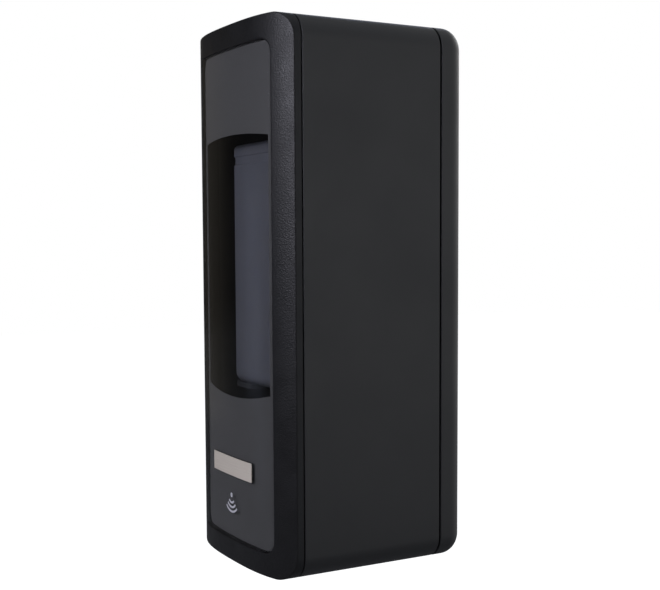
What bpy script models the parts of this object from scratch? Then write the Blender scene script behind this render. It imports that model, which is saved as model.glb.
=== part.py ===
"""Touch-free soap dispenser for a wall, built from separate pieces.

Metres, +Z up, the front faces -Y. The origin is the middle of the flat back face that
sits on the wall. The hinged cover opens forwards and down on two pins at the bottom.
"""
import math

import bmesh
import bpy
from mathutils import Euler

# Overall size
HEIGHT = 0.290
WIDTH = 0.114
DEPTH = 0.116
CORNER_RADIUS = 0.013
FRONT_BOW = 0.0028
FRONT_EDGE_TURN = 0.008
WALL = 0.0025
GAP = 0.0003
OVERRUN = 0.004
EMBED = 0.0005
HALF_WIDTH = WIDTH / 2
HALF_HEIGHT = HEIGHT / 2

# Back plate and its seam with the cover
PLATE_DEPTH = 0.016
PLATE_FLOOR = 0.003
REAR_FILLET = 0.010
REAR_SEAM = 0.001
RIB_HEIGHT = 0.005
RIB_THICKNESS = 0.0016
RIB_CELL = 0.020
RIB_COLUMNS = 3
RIB_ROWS = 8
WALL_SLOT_X_INSET = 0.023
WALL_SLOT_X = HALF_WIDTH - WALL_SLOT_X_INSET
WALL_SLOT_Z_DROP = 0.057
WALL_SLOT_Z = HALF_HEIGHT - WALL_SLOT_Z_DROP
WALL_SLOT_RADIUS = 0.0024
WALL_SLOT_LENGTH = 0.012
BOSS_RADIUS = 0.0042
BOSS_X_INSET = 0.013
BOSS_X = HALF_WIDTH - BOSS_X_INSET
BOSS_TOP_Z_DROP = 0.027
BOSS_TOP_Z = HALF_HEIGHT - BOSS_TOP_Z_DROP
BOSS_LOW_Z_RISE = 0.0865
BOSS_LOW_Z = -HALF_HEIGHT + BOSS_LOW_Z_RISE

# Cover hinge
HINGE_HEIGHT = 0.0023
HINGE_SETBACK = 0.0027
KNUCKLE_RADIUS = 0.0022
HINGE_PIN_RADIUS = 0.001
PIN_CLEARANCE = 0.0001
EAR_INNER_X_INSET = 0.027
EAR_INNER_X = HALF_WIDTH - EAR_INNER_X_INSET
EAR_WIDTH = 0.004
COVER_KNUCKLE_WIDTH = 0.0054
KNUCKLE_SWING_CLEARANCE = 0.0006
HINGE_NOTCH_SETBACK = 0.0009
HINGE_NOTCH_RISE = 0.0005

# Front frame, panel, window and plate
FRONT_STRIP = 0.004
FRONT_SEAM = 0.0005
SPIGOT_LENGTH = 0.004
SPIGOT_WALL = 0.0015
BEZEL_SIDE = 0.015
BEZEL_END = 0.013
PANEL_RADIUS = 0.007
PANEL_THICKNESS = 0.002
PANEL_GROOVE = 0.0006
MASK_THICKNESS = 0.0004
LEDGE_WIDTH = 0.003
LEDGE_THICKNESS = 0.002
WINDOW_HALF_WIDTH_INSET = 0.0186
WINDOW_HALF_WIDTH = HALF_WIDTH - WINDOW_HALF_WIDTH_INSET
WINDOW_TOP_DROP = 0.0579
WINDOW_TOP = HALF_HEIGHT - WINDOW_TOP_DROP
WINDOW_TOP_SAG = 0.0025
WINDOW_BOTTOM_RISE = 0.0907
WINDOW_BOTTOM = -HALF_HEIGHT + WINDOW_BOTTOM_RISE
WINDOW_BOTTOM_SAG = 0.0045
PLATE_WIDTH = 0.048
PLATE_HEIGHT = 0.0103
PLATE_Z_RISE = 0.0526
PLATE_Z = -HALF_HEIGHT + PLATE_Z_RISE
PLATE_THICKNESS = 0.0006
PLATE_CORNER = 0.0006
PLATE_SINK = 0.0001
PLATE_POCKET = 0.001

# Opening that the soap falls through
OUTLET_WIDTH = 0.056
OUTLET_FRONT_SETBACK = 0.018
OUTLET_FRONT = -DEPTH + OUTLET_FRONT_SETBACK
OUTLET_BACK = -0.047
OUTLET_RADIUS = 0.004

# Lock on top of the cover
LOCK_Y = -0.040
LOCK_RADIUS = 0.007
LOCK_FLANGE_RADIUS = 0.009
LOCK_FLANGE_THICKNESS = 0.001
LOCK_LENGTH = 0.0105
LOCK_PLUG_RADIUS = 0.004
LOCK_NUT_RADIUS = 0.011
LOCK_NUT_THICKNESS = 0.0028
KEY_SLOT_LENGTH = 0.0055
KEY_SLOT_WIDTH = 0.0012
KEY_SLOT_DEPTH = 0.003
CAM_THICKNESS = 0.002
CAM_REACH = 0.012
CAM_WIDTH = 0.006
CAM_STEM_RADIUS = 0.0022
CAM_HEAD_RADIUS = 0.0035
CAM_HEAD_THICKNESS = 0.0012
KEEPER_HEIGHT = 0.008
KEEPER_THICKNESS = 0.0025
KEEPER_INNER_X = 0.009
KEEPER_OUTER_X = 0.018
KEEPER_CATCH = 0.0004

# Inner frame
FRAME_THICKNESS = 0.0025
FRAME_HALF_WIDTH_INSET = 0.007
FRAME_HALF_WIDTH = HALF_WIDTH - FRAME_HALF_WIDTH_INSET
FRAME_BOTTOM_RISE = 0.008
FRAME_BOTTOM = -HALF_HEIGHT + FRAME_BOTTOM_RISE
FRAME_TOP_DROP = 0.007
FRAME_TOP = HALF_HEIGHT - FRAME_TOP_DROP
FRAME_FLANGE = 0.006
FRAME_FLANGE_THICKNESS = 0.002
FRAME_FLANGE_RISE = 0.009
FRAME_CORNER = 0.004
SCREW_RADIUS = 0.0014
SCREW_HEAD_RADIUS = 0.003
SCREW_HEAD_HEIGHT = 0.0018
SCREW_CLEARANCE = 0.0002
FRAME_SCREW_LENGTH = 0.010

# Refill bottle, its shelf and the pump
BOTTLE_HALF_WIDTH_INSET = 0.021
BOTTLE_HALF_WIDTH = HALF_WIDTH - BOTTLE_HALF_WIDTH_INSET
BOTTLE_FRONT_SETBACK = 0.018
BOTTLE_FRONT = -DEPTH + BOTTLE_FRONT_SETBACK
BOTTLE_BACK = -0.045
BOTTLE_BOTTOM_RISE = 0.0945
BOTTLE_BOTTOM = -HALF_HEIGHT + BOTTLE_BOTTOM_RISE
BOTTLE_TOP_DROP = 0.0605
BOTTLE_TOP = HALF_HEIGHT - BOTTLE_TOP_DROP
BOTTLE_EDGE = 0.008
BOTTLE_ROUND = 0.005
NECK_RADIUS = 0.013
NECK_LENGTH = 0.0095
COLLAR_RADIUS = 0.0165
COLLAR_TOP_GAP = 0.0012
COLLAR_LENGTH = 0.016
COLLAR_FLOOR = 0.0022
COLLAR_RIBS = 18
COLLAR_RIB_DEPTH = 0.0006
PUMP_FLANGE_RADIUS = 0.0125
PUMP_FLANGE_THICKNESS = 0.002
PUMP_BODY_RADIUS = 0.010
PUMP_BODY_END_RISE = 0.049
PUMP_BODY_END = -HALF_HEIGHT + PUMP_BODY_END_RISE
PUMP_BORE_RADIUS = 0.0062
PUMP_BORE_DEPTH = 0.020
NOZZLE_STEM_RADIUS = 0.005
NOZZLE_STEM_TOP_RISE = 0.059
NOZZLE_STEM_TOP = -HALF_HEIGHT + NOZZLE_STEM_TOP_RISE
NOZZLE_FLANGE_RADIUS = 0.013
NOZZLE_FLANGE_TOP_RISE = 0.037
NOZZLE_FLANGE_TOP = -HALF_HEIGHT + NOZZLE_FLANGE_TOP_RISE
NOZZLE_FLANGE_THICKNESS = 0.0025
NOZZLE_NECK_END_RISE = 0.023
NOZZLE_NECK_END = -HALF_HEIGHT + NOZZLE_NECK_END_RISE
NOZZLE_TIP_RADIUS = 0.0035
NOZZLE_TIP_END_RISE = 0.011
NOZZLE_TIP_END = -HALF_HEIGHT + NOZZLE_TIP_END_RISE
NOZZLE_BORE_RADIUS = 0.0018
SPRING_RADIUS = 0.0078
SPRING_WIRE_RADIUS = 0.00055
SPRING_TURNS = 4
SHELF_THICKNESS = 0.003
SHELF_HALF_WIDTH_INSET = 0.015
SHELF_HALF_WIDTH = HALF_WIDTH - SHELF_HALF_WIDTH_INSET
SHELF_FRONT_SETBACK = 0.022
SHELF_FRONT = -DEPTH + SHELF_FRONT_SETBACK
SHELF_MOUTH_RADIUS = 0.019
SHELF_CORNER = 0.006
SHELF_CHEEK_THICKNESS = 0.002
SHELF_CHEEK_HEIGHT = 0.036
SHELF_CHEEK_FRONT_SETBACK = 0.046
SHELF_CHEEK_FRONT = -DEPTH + SHELF_CHEEK_FRONT_SETBACK
SHELF_BACK_HEIGHT = 0.018
SHELF_SCREW_X_INSET = 0.027
SHELF_SCREW_X = HALF_WIDTH - SHELF_SCREW_X_INSET

# Gear train
AXLE_RADIUS = 0.0015
GEAR_BORE_CLEARANCE = 0.00015
PRESSURE_ANGLE = math.radians(25)
ADDENDUM_SHARE = 0.8
DEDENDUM_SHARE = 1.1
BACKLASH_SHARE = 0.2
MODULE_MOTOR = 0.0005
MODULE_MIDDLE = 0.0006
MODULE_OUTPUT = 0.0008
MODULE_RACK = 0.001
MOTOR_PINION_TEETH = 10
GEAR_1_TEETH = 40
GEAR_1_PINION_TEETH = 12
GEAR_2_TEETH = 36
GEAR_2_PINION_TEETH = 12
OUTPUT_TEETH = 36
RACK_PINION_TEETH = 14
OUTPUT_X = -0.005
OUTPUT_Z_RISE = 0.045
OUTPUT_Z = -HALF_HEIGHT + OUTPUT_Z_RISE
GEAR_2_BEARING = math.radians(30)
GEAR_1_BEARING = math.radians(20)
MOTOR_BEARING = math.radians(-60)
GEAR_WIDTH = 0.003
OUTPUT_WHEEL_WIDTH = 0.004
PINION_OVERHANG = 0.0005
LAYER_GAP = 0.0014
WEB_THICKNESS = 0.0014
WHEEL_RIM = 0.0022
HUB_RADIUS = 0.0024
OUTPUT_HUB_RADIUS = 0.004

# Gearbox
BOX_HALF_WIDTH_INSET = 0.009
BOX_HALF_WIDTH = HALF_WIDTH - BOX_HALF_WIDTH_INSET
BOX_TOP_RISE = 0.082
BOX_TOP = -HALF_HEIGHT + BOX_TOP_RISE
BOX_BOTTOM_RISE = 0.009
BOX_BOTTOM = -HALF_HEIGHT + BOX_BOTTOM_RISE
BOX_CORNER = 0.005
BOX_FLOOR = 0.002
BOX_WALL = 0.0016
BOX_DEPTH = 0.0176
BOX_LID = 0.002
BOX_SCREW_X_INSET = 0.0145
BOX_SCREW_X = HALF_WIDTH - BOX_SCREW_X_INSET
BOX_SCREW_INSET = 0.0055
BOX_POST_RADIUS = 0.0044
BOX_SCREW_LENGTH = 0.0215
AXLE_BOSS_RADIUS = 0.0028
AXLE_BOSS_HEIGHT = 0.0015
RACK_BAR_WIDTH = 0.0052
RACK_WIDTH = 0.005
RACK_BOTTOM_RISE = 0.031
RACK_BOTTOM = -HALF_HEIGHT + RACK_BOTTOM_RISE
RACK_TOP_RISE = 0.06
RACK_TOP = -HALF_HEIGHT + RACK_TOP_RISE
RACK_TEETH_BELOW = 5
RACK_TEETH_ABOVE = 2
RACK_RUNNING_GAP = 0.0004
RAIL_THICKNESS = 0.002
RAIL_LIP = 0.0022
RAIL_LIP_THICKNESS = 0.0014
RAIL_BOTTOM_RISE = 0.0425
RAIL_BOTTOM = -HALF_HEIGHT + RAIL_BOTTOM_RISE
RAIL_TOP_RISE = 0.059
RAIL_TOP = -HALF_HEIGHT + RAIL_TOP_RISE
FORK_THICKNESS = 0.003
FORK_HALF_WIDTH = 0.015
FORK_SLOT_HALF_WIDTH = 0.006
FORK_FRONT_MARGIN = 0.012
FORK_CORNER = 0.004

# Motor
MOTOR_RADIUS = 0.0120
MOTOR_FLAT = 0.0095
MOTOR_LENGTH = 0.022
MOTOR_CAP_LENGTH = 0.003
MOTOR_CAP_INSET = 0.0008
MOTOR_NOSE_RADIUS = 0.003
MOTOR_NOSE_LENGTH = 0.0016
MOTOR_SHAFT_RADIUS = 0.001
MOTOR_SHAFT_DEPTH = 0.006
MOTOR_TAG_WIDTH = 0.0024
MOTOR_TAG_HEIGHT = 0.0005
MOTOR_TAG_LENGTH = 0.003
MOTOR_TAG_X = 0.005

# Sensor under the gearbox
SENSOR_HALF_WIDTH = 0.016
SENSOR_DEPTH = 0.016
SENSOR_BOTTOM_RISE = 0.006
SENSOR_BOTTOM = -HALF_HEIGHT + SENSOR_BOTTOM_RISE
SENSOR_HEIGHT = 0.0105
SENSOR_WALL = 0.0015
SENSOR_EYE_X = 0.0085
SENSOR_EYE_RADIUS = 0.0025
SENSOR_EYE_LENGTH = 0.006
SENSOR_WINDOW_THICKNESS = 0.001
SENSOR_WINDOW_INSET = 0.0022

# Batteries, their box and door
CELL_RADIUS = 0.00725
CELL_LENGTH = 0.0495
CELL_BUTTON_RADIUS = 0.00275
CELL_BUTTON_HEIGHT = 0.001
CELL_PITCH = 0.0152
CELL_COUNT = 4
CELL_CLEARANCE = 0.0004
CELLS_BOTTOM = 0.005
CONTACT_THICKNESS = 0.0005
CONTACT_BUMP_RADIUS = 0.0022
CONTACT_BUMP_HEIGHT = 0.0018
CONTACT_WIDTH = 0.010
CELL_BOX_WALL = 0.0015
CELL_BOX_LIP = 0.002
CELL_DOOR_THICKNESS = 0.0018
CELL_DOOR_GRIP_WIDTH = 0.020
CELL_DOOR_GRIP_HEIGHT = 0.0012
CELL_DOOR_GRIPS = 4
CELL_DOOR_GRIP_PITCH = 0.0035

# Circuit board and its cover
BOARD_WIDTH = 0.060
BOARD_HEIGHT = 0.030
BOARD_Z_DROP = 0.04
BOARD_Z = HALF_HEIGHT - BOARD_Z_DROP
BOARD_THICKNESS = 0.0016
BOARD_STANDOFF = 0.004
STANDOFF_RADIUS = 0.0025
CHIP_SIZE = 0.010
CHIP_HEIGHT = 0.0016
SWITCH_BODY_WIDTH = 0.012
SWITCH_BODY_HEIGHT = 0.006
SWITCH_BODY_DEPTH = 0.004
SWITCH_X = 0.018
SWITCH_Z_DROP = 0.048
SWITCH_Z = HALF_HEIGHT - SWITCH_Z_DROP
SWITCH_SLOT_HEIGHT = 0.0022
SWITCH_SLOT_WIDTH = 0.0080
SWITCH_SLOT_DEPTH = 0.002
KNOB_WIDTH = 0.0025
KNOB_HEIGHT = 0.0018
KNOB_PROUD = 0.003
POWER_TRAVEL = 0.0025
DOSE_TRAVEL = 0.0050
BOARD_COVER_HALF_WIDTH = 0.035
BOARD_COVER_BOTTOM_DROP = 0.0585
BOARD_COVER_BOTTOM = HALF_HEIGHT - BOARD_COVER_BOTTOM_DROP
BOARD_COVER_TOP_DROP = 0.0215
BOARD_COVER_TOP = HALF_HEIGHT - BOARD_COVER_TOP_DROP
BOARD_COVER_DEPTH = 0.0160
BOARD_COVER_WALL = 0.0015
BOARD_COVER_CORNER = 0.003
LED_RADIUS = 0.0015
LED_Z_DROP = 0.031
LED_Z = HALF_HEIGHT - LED_Z_DROP

# Facets
ARC_STEPS = 4
ROUND_STEPS = 20
FRONT_STEPS = 20
FLANK_STEPS = 1
WELD_DISTANCE = 0.000001
ROUND_PROFILE_SHARE = 0.5
HEX_SIDES = 6
SPRING_POINTS = 12
HALF_SHARE = 0.5
HEAD_SIDE_SHARE = 0.6
HEAD_CROWN_SHARE = 0.7
RIB_SHARES = ((0.0, 0), (0.45, 0), (0.6, 1), (0.85, 1))

# Places worked out from the sizes above
COVER_REAR = -(PLATE_DEPTH + REAR_SEAM)
FRONT_EDGE_Y = -DEPTH + FRONT_BOW + FRONT_EDGE_TURN
BEZEL_REAR = FRONT_EDGE_Y + FRONT_STRIP
COVER_FRONT = BEZEL_REAR + FRONT_SEAM
HINGE_Y = COVER_REAR + HINGE_SETBACK
HINGE_Z = -HALF_HEIGHT + HINGE_HEIGHT
PANEL_HALF_WIDTH = HALF_WIDTH - BEZEL_SIDE
PANEL_HALF_HEIGHT = HALF_HEIGHT - BEZEL_END
FRAME_REAR = -(PLATE_DEPTH + REAR_SEAM + GAP)
FRAME_FACE = FRAME_REAR - FRAME_THICKNESS
PUMP_Y = (BOTTLE_FRONT + BOTTLE_BACK) / 2
BOX_REAR = FRAME_FACE - GAP
BOX_FLOOR_FACE = BOX_REAR - BOX_FLOOR
BOX_RIM = BOX_REAR - BOX_DEPTH
LID_REAR = BOX_RIM - GAP
LID_FACE = LID_REAR - BOX_LID
OUTPUT_WHEEL_REAR = BOX_FLOOR_FACE - AXLE_BOSS_HEIGHT - GAP
OUTPUT_WHEEL_FACE = OUTPUT_WHEEL_REAR - OUTPUT_WHEEL_WIDTH
GEAR_2_REAR = OUTPUT_WHEEL_FACE - LAYER_GAP
GEAR_2_FACE = GEAR_2_REAR - GEAR_WIDTH
GEAR_1_REAR = GEAR_2_FACE - PINION_OVERHANG
GEAR_1_FACE = GEAR_1_REAR - GEAR_WIDTH
RACK_REAR = LID_FACE - RACK_RUNNING_GAP
RACK_FACE = RACK_REAR - RACK_WIDTH
MOTOR_REAR = LID_FACE - GAP
PIN_LENGTH = 2 * EAR_WIDTH + COVER_KNUCKLE_WIDTH + 2 * GAP
SHELF_BACK_FACE = FRAME_FACE - GAP - SHELF_THICKNESS
RACK_PITCH_X = OUTPUT_X - MODULE_RACK * RACK_PINION_TEETH / 2
BOARD_REAR = FRAME_FACE - BOARD_STANDOFF
BOARD_FACE = BOARD_REAR - BOARD_THICKNESS
STANDOFF_X = BOARD_WIDTH / 2 - 2 * STANDOFF_RADIUS
STANDOFF_ZS = (BOARD_Z - BOARD_HEIGHT / 2 + STANDOFF_RADIUS, BOARD_Z + BOARD_HEIGHT / 2 - STANDOFF_RADIUS)


def radius_of(module, teeth):
    """Pitch radius of a gear."""
    return module * teeth / 2


def gear_place(start, distance, bearing):
    """The place of a gear's axle, seen from the front, in X and Z."""
    return (start[0] + distance * math.cos(bearing), start[1] + distance * math.sin(bearing))


OUTPUT_PLACE = (OUTPUT_X, OUTPUT_Z)
GEAR_2_DISTANCE = radius_of(MODULE_OUTPUT, OUTPUT_TEETH) + radius_of(MODULE_OUTPUT, GEAR_2_PINION_TEETH)
GEAR_2_PLACE = gear_place(OUTPUT_PLACE, GEAR_2_DISTANCE, GEAR_2_BEARING)
GEAR_1_DISTANCE = radius_of(MODULE_MIDDLE, GEAR_2_TEETH) + radius_of(MODULE_MIDDLE, GEAR_1_PINION_TEETH)
GEAR_1_PLACE = gear_place(GEAR_2_PLACE, GEAR_1_DISTANCE, GEAR_1_BEARING)
MOTOR_DISTANCE = radius_of(MODULE_MOTOR, GEAR_1_TEETH) + radius_of(MODULE_MOTOR, MOTOR_PINION_TEETH)
MOTOR_PLACE = gear_place(GEAR_1_PLACE, MOTOR_DISTANCE, MOTOR_BEARING)


# Helpers

def clear_scene():
    """Start from an empty scene with one collection for parts and one for cutters."""
    for thing in list(bpy.data.objects):
        bpy.data.objects.remove(thing, do_unlink=True)
    for title in ("soap_dispenser", "cutters"):
        group = bpy.data.collections.new(title)
        bpy.context.scene.collection.children.link(group)


def file_in(thing, title):
    """Put an object in one collection only."""
    for group in list(thing.users_collection):
        group.objects.unlink(thing)
    bpy.data.collections[title].objects.link(thing)


def material(name, colour, roughness, metallic=0.0):
    """A plain Principled material; the colour is linear red, green and blue."""
    made = bpy.data.materials.new(name)
    made.use_nodes = True
    shader = made.node_tree.nodes["Principled BSDF"]
    shader.inputs["Base Color"].default_value = (*colour, 1.0)
    shader.inputs["Roughness"].default_value = roughness
    shader.inputs["Metallic"].default_value = metallic
    made.diffuse_color = (*colour, 1.0)
    return made


def part(thing, finish):
    """Make an object one of the dispenser's pieces."""
    file_in(thing, "soap_dispenser")
    thing.data.materials.clear()
    thing.data.materials.append(finish)
    return thing


def guide(thing):
    """Make an object a cutter or an addition that only modifiers use."""
    file_in(thing, "cutters")
    thing.hide_render = True
    thing.display_type = "WIRE"
    return thing


def modify(target, tool, operation):
    """Join, cut or trim a piece with another solid."""
    change = target.modifiers.new(tool.name, "BOOLEAN")
    change.operation = operation
    change.object = guide(tool)
    change.solver = "EXACT"
    return target


def cut(target, *tools):
    for tool in tools:
        modify(target, tool, "DIFFERENCE")
    return target


def join(target, *tools):
    for tool in tools:
        modify(target, tool, "UNION")
    return target


def keep(target, tool):
    return modify(target, tool, "INTERSECT")


def arc(centre, radius, start, end, steps=ARC_STEPS):
    """Points along an arc, both ends included; angles in radians."""
    turns = [start + (end - start) * step / steps for step in range(steps + 1)]
    return [(centre[0] + radius * math.cos(t), centre[1] + radius * math.sin(t)) for t in turns]


def ring(radius, centre=(0, 0), steps=ROUND_STEPS):
    """A full circle without its repeated end point."""
    return arc(centre, radius, 0, 2 * math.pi, steps)[:-1]


def rounded(x_low, x_high, y_low, y_high, radius, steps=ARC_STEPS):
    """A rectangle with round corners, as one loop."""
    corners = ((x_high - radius, y_high - radius, 0), (x_low + radius, y_high - radius, 1),
               (x_low + radius, y_low + radius, 2), (x_high - radius, y_low + radius, 3))
    points = []
    for x, y, quarter in corners:
        start = quarter * math.pi / 2
        points += arc((x, y), radius, start, start + math.pi / 2, steps)
    return points


def square(x_low, x_high, y_low, y_high):
    """A rectangle with sharp corners."""
    return [(x_low, y_low), (x_high, y_low), (x_high, y_high), (x_low, y_high)]


TURNS = {"XY": (0, 0, 0), "XZ": (math.pi / 2, 0, 0), "YZ": (math.pi / 2, 0, math.pi / 2)}


def plate(name, loops, low, high, plane="XZ"):
    """A flat outline with its holes, made solid between two places on the third axis."""
    curve = bpy.data.curves.new(name, "CURVE")
    curve.dimensions = "2D"
    curve.fill_mode = "BOTH"
    curve.extrude = (high - low) / 2
    for loop in loops:
        line = curve.splines.new("POLY")
        line.points.add(len(loop) - 1)
        for point, (x, y) in zip(line.points, loop):
            point.co = (x, y, 0, 1)
        line.use_cyclic_u = True
    flat = bpy.data.objects.new(name + "_outline", curve)
    bpy.context.scene.collection.objects.link(flat)
    bpy.context.view_layer.update()
    evaluated = flat.evaluated_get(bpy.context.evaluated_depsgraph_get())
    mesh = bpy.data.meshes.new_from_object(evaluated)
    bpy.data.objects.remove(flat, do_unlink=True)
    mesh.name = name
    weld(mesh)
    mesh.transform(Euler(TURNS[plane]).to_matrix().to_4x4())
    thing = bpy.data.objects.new(name, mesh)
    bpy.context.scene.collection.objects.link(thing)
    middle = (low + high) / 2
    thing.location = {"XY": (0, 0, middle), "XZ": (0, middle, 0), "YZ": (middle, 0, 0)}[plane]
    return thing


def weld(mesh):
    """Close the loose caps of a filled curve and turn its faces outwards."""
    shape = bmesh.new()
    shape.from_mesh(mesh)
    bmesh.ops.remove_doubles(shape, verts=shape.verts, dist=WELD_DISTANCE)
    bmesh.ops.recalc_face_normals(shape, faces=shape.faces)
    shape.to_mesh(mesh)
    shape.free()


def block(name, x_low, x_high, y_low, y_high, z_low, z_high):
    """A box between its corners."""
    bpy.ops.mesh.primitive_cube_add(size=1)
    thing = bpy.context.object
    thing.name = name
    thing.scale = (x_high - x_low, y_high - y_low, z_high - z_low)
    bpy.ops.object.transform_apply(location=False, rotation=False, scale=True)
    thing.location = ((x_low + x_high) / 2, (y_low + y_high) / 2, (z_low + z_high) / 2)
    return thing


def rod(name, axis, radius, low, high, at, steps=ROUND_STEPS):
    """A cylinder along X, Y or Z; `at` gives its place on the other two axes."""
    bpy.ops.mesh.primitive_cylinder_add(vertices=steps, radius=radius, depth=high - low)
    thing = bpy.context.object
    thing.name = name
    middle = (low + high) / 2
    if axis == "X":
        thing.rotation_euler = (0, math.pi / 2, 0)
        place = (middle, at[0], at[1])
    elif axis == "Y":
        thing.rotation_euler = (math.pi / 2, 0, 0)
        place = (at[0], middle, at[1])
    else:
        place = (at[0], at[1], middle)
    bpy.ops.object.transform_apply(location=False, rotation=True, scale=False)
    thing.location = place
    return thing


def turned(name, profile, at, axis="Z", steps=ROUND_STEPS):
    """A turned piece: radius and height points, from the top down, with a Screw modifier.

    The profile starts and ends on the axis. Along Y the heights run backwards, so the
    first point is the one furthest back.
    """
    mesh = bpy.data.meshes.new(name)
    points = [(radius, 0, height) for radius, height in profile]
    mesh.from_pydata(points, [(k, k + 1) for k in range(len(points) - 1)], [])
    thing = bpy.data.objects.new(name, mesh)
    bpy.context.scene.collection.objects.link(thing)
    spin = thing.modifiers.new("turn", "SCREW")
    spin.steps = steps
    spin.render_steps = steps
    spin.use_merge_vertices = True
    spin.merge_threshold = WELD_DISTANCE
    spin.use_smooth_shade = False
    if axis == "Y":
        thing.rotation_euler = (-math.pi / 2, 0, 0)
    thing.location = at
    return thing


def pivot(name, at):
    """An empty on a joint's axis, which carries the pieces that turn about it."""
    empty = bpy.data.objects.new(name, None)
    empty.location = at
    bpy.data.collections["soap_dispenser"].objects.link(empty)
    return empty


def hang(carrier, *pieces):
    """Parent pieces to a carrier and leave them where they are."""
    for piece in pieces:
        piece.location = piece.location - carrier.location
        piece.parent = carrier


def front_y(x):
    """The front's depth at a place across the width: a bow that turns in at the edges."""
    share = (x / HALF_WIDTH) ** 2
    return -DEPTH + FRONT_BOW * share + FRONT_EDGE_TURN * share * share


def front_line(inset):
    """Points along the front, moved back by `inset`, from left to right past both sides."""
    reach = HALF_WIDTH + EMBED
    across = [reach * (2 * step / FRONT_STEPS - 1) for step in range(FRONT_STEPS + 1)]
    return [(x, front_y(x) + inset) for x in across]


def front_layer(name, near, far):
    """A layer that follows the curved front between two depths behind its surface."""
    outline = front_line(near) + front_line(far)[::-1]
    return plate(name, [outline], -HALF_HEIGHT - OVERRUN, HALF_HEIGHT + OVERRUN, "XY")


def behind_front(name, inset, back):
    """Everything behind the curved front, as far back as `back`."""
    line = front_line(inset)
    outline = line + [(line[-1][0], back), (line[0][0], back)]
    return plate(name, [outline], -HALF_HEIGHT - OVERRUN, HALF_HEIGHT + OVERRUN, "XY")


def before_front(name, inset):
    """Everything before the curved front moved back by `inset`."""
    line = front_line(inset)
    nose = -DEPTH - 3 * OVERRUN
    outline = line + [(line[-1][0], nose), (line[0][0], nose)]
    return plate(name, [outline], -HALF_HEIGHT - OVERRUN, HALF_HEIGHT + OVERRUN, "XY")


def case_outline(inset):
    """The front view's outline, drawn in by `inset`."""
    half_x = HALF_WIDTH - inset
    half_z = HALF_HEIGHT - inset
    return rounded(-half_x, half_x, -half_z, half_z, CORNER_RADIUS - inset)


# Fixed case: the back plate, its hinge ears and pins

def make_back_plate(plastic):
    """A tray with round rear edges, a rib grid, wall slots, screw bosses and hinge ears."""
    tray = part(plate("back_plate", [case_outline(0)], -PLATE_DEPTH, 0), plastic)
    round_rear(tray, REAR_FILLET)
    hollow = plate("tray_hollow", [case_outline(WALL)], -PLATE_DEPTH - OVERRUN, -PLATE_FLOOR)
    round_rear(hollow, REAR_FILLET - PLATE_FLOOR)
    cut(tray, hollow)
    join(tray, rib_grid())
    for x in (-BOSS_X, BOSS_X):
        for z in (BOSS_TOP_Z, BOSS_LOW_Z):
            join(tray, rod("boss", "Y", BOSS_RADIUS, FRAME_REAR + GAP, -PLATE_FLOOR + EMBED, (x, z)))
            cut(tray, rod("boss_hole", "Y", SCREW_RADIUS + SCREW_CLEARANCE,
                          FRAME_REAR - OVERRUN, -PLATE_FLOOR, (x, z)))
    for x in (-WALL_SLOT_X, WALL_SLOT_X):
        for z in (-WALL_SLOT_Z, WALL_SLOT_Z):
            slot = rounded(x - WALL_SLOT_RADIUS, x + WALL_SLOT_RADIUS, z - WALL_SLOT_LENGTH / 2,
                           z + WALL_SLOT_LENGTH / 2, WALL_SLOT_RADIUS - GAP)
            cut(tray, plate("wall_slot", [slot], -PLATE_FLOOR - RIB_HEIGHT - OVERRUN, OVERRUN))
    notch = block("hinge_notch", -WIDTH, WIDTH, -PLATE_DEPTH - OVERRUN, HINGE_Y - HINGE_NOTCH_SETBACK,
                  -HEIGHT, HINGE_Z + HINGE_NOTCH_RISE)
    cut(tray, notch)
    for low, high in knuckle_spans():
        cut(tray, rod("knuckle_room", "X", KNUCKLE_RADIUS + KNUCKLE_SWING_CLEARANCE,
                      low - GAP, high + GAP, (HINGE_Y, HINGE_Z)))
        cut(tray, block("web_room", low - GAP, high + GAP, -PLATE_DEPTH - OVERRUN,
                        HINGE_Y + KNUCKLE_RADIUS + 2 * KNUCKLE_SWING_CLEARANCE,
                        -HEIGHT, HINGE_Z + HINGE_NOTCH_RISE))
    for low, high in ear_spans():
        join(tray, hinge_lug("ear", low, high, 1, 2 * HINGE_SETBACK))
    return bore_hinge(tray)


def hinge_lug(name, low, high, side, reach):
    """A hinge knuckle and its web in one outline; side +1 runs back to the wall."""
    start = math.pi / 2 if side > 0 else -math.pi / 2
    nose = arc((HINGE_Y, HINGE_Z), KNUCKLE_RADIUS, start, start + math.pi, 2 * ARC_STEPS)
    last = HINGE_Y + side * reach
    root = [(last, nose[-1][1]), (last, nose[0][1])]
    return plate(name, [nose + root], low, high, "YZ")


def bore_hinge(thing):
    """The pin's bore through one side of the hinge, left and right."""
    for low, high in knuckle_spans():
        reach = 2 * EAR_WIDTH
        cut(thing, rod("pin_bore", "X", HINGE_PIN_RADIUS + PIN_CLEARANCE, low - reach, high + reach,
                       (HINGE_Y, HINGE_Z), ROUND_STEPS // 2))
    return thing


def round_rear(thing, radius):
    """Round the edges of the rearmost face of an upright plate."""
    shape = bmesh.new()
    shape.from_mesh(thing.data)
    rear = max(vertex.co.y for vertex in shape.verts)
    edges = [edge for edge in shape.edges
             if all(rear - vertex.co.y < EMBED for vertex in edge.verts) and len(edge.link_faces) == 2
             and abs(edge.link_faces[0].normal.y - edge.link_faces[1].normal.y) > EMBED]
    bmesh.ops.bevel(shape, geom=edges, offset=radius, offset_type="OFFSET", segments=ARC_STEPS,
                    profile=ROUND_PROFILE_SHARE, affect="EDGES", clamp_overlap=False)
    shape.to_mesh(thing.data)
    shape.free()


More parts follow.
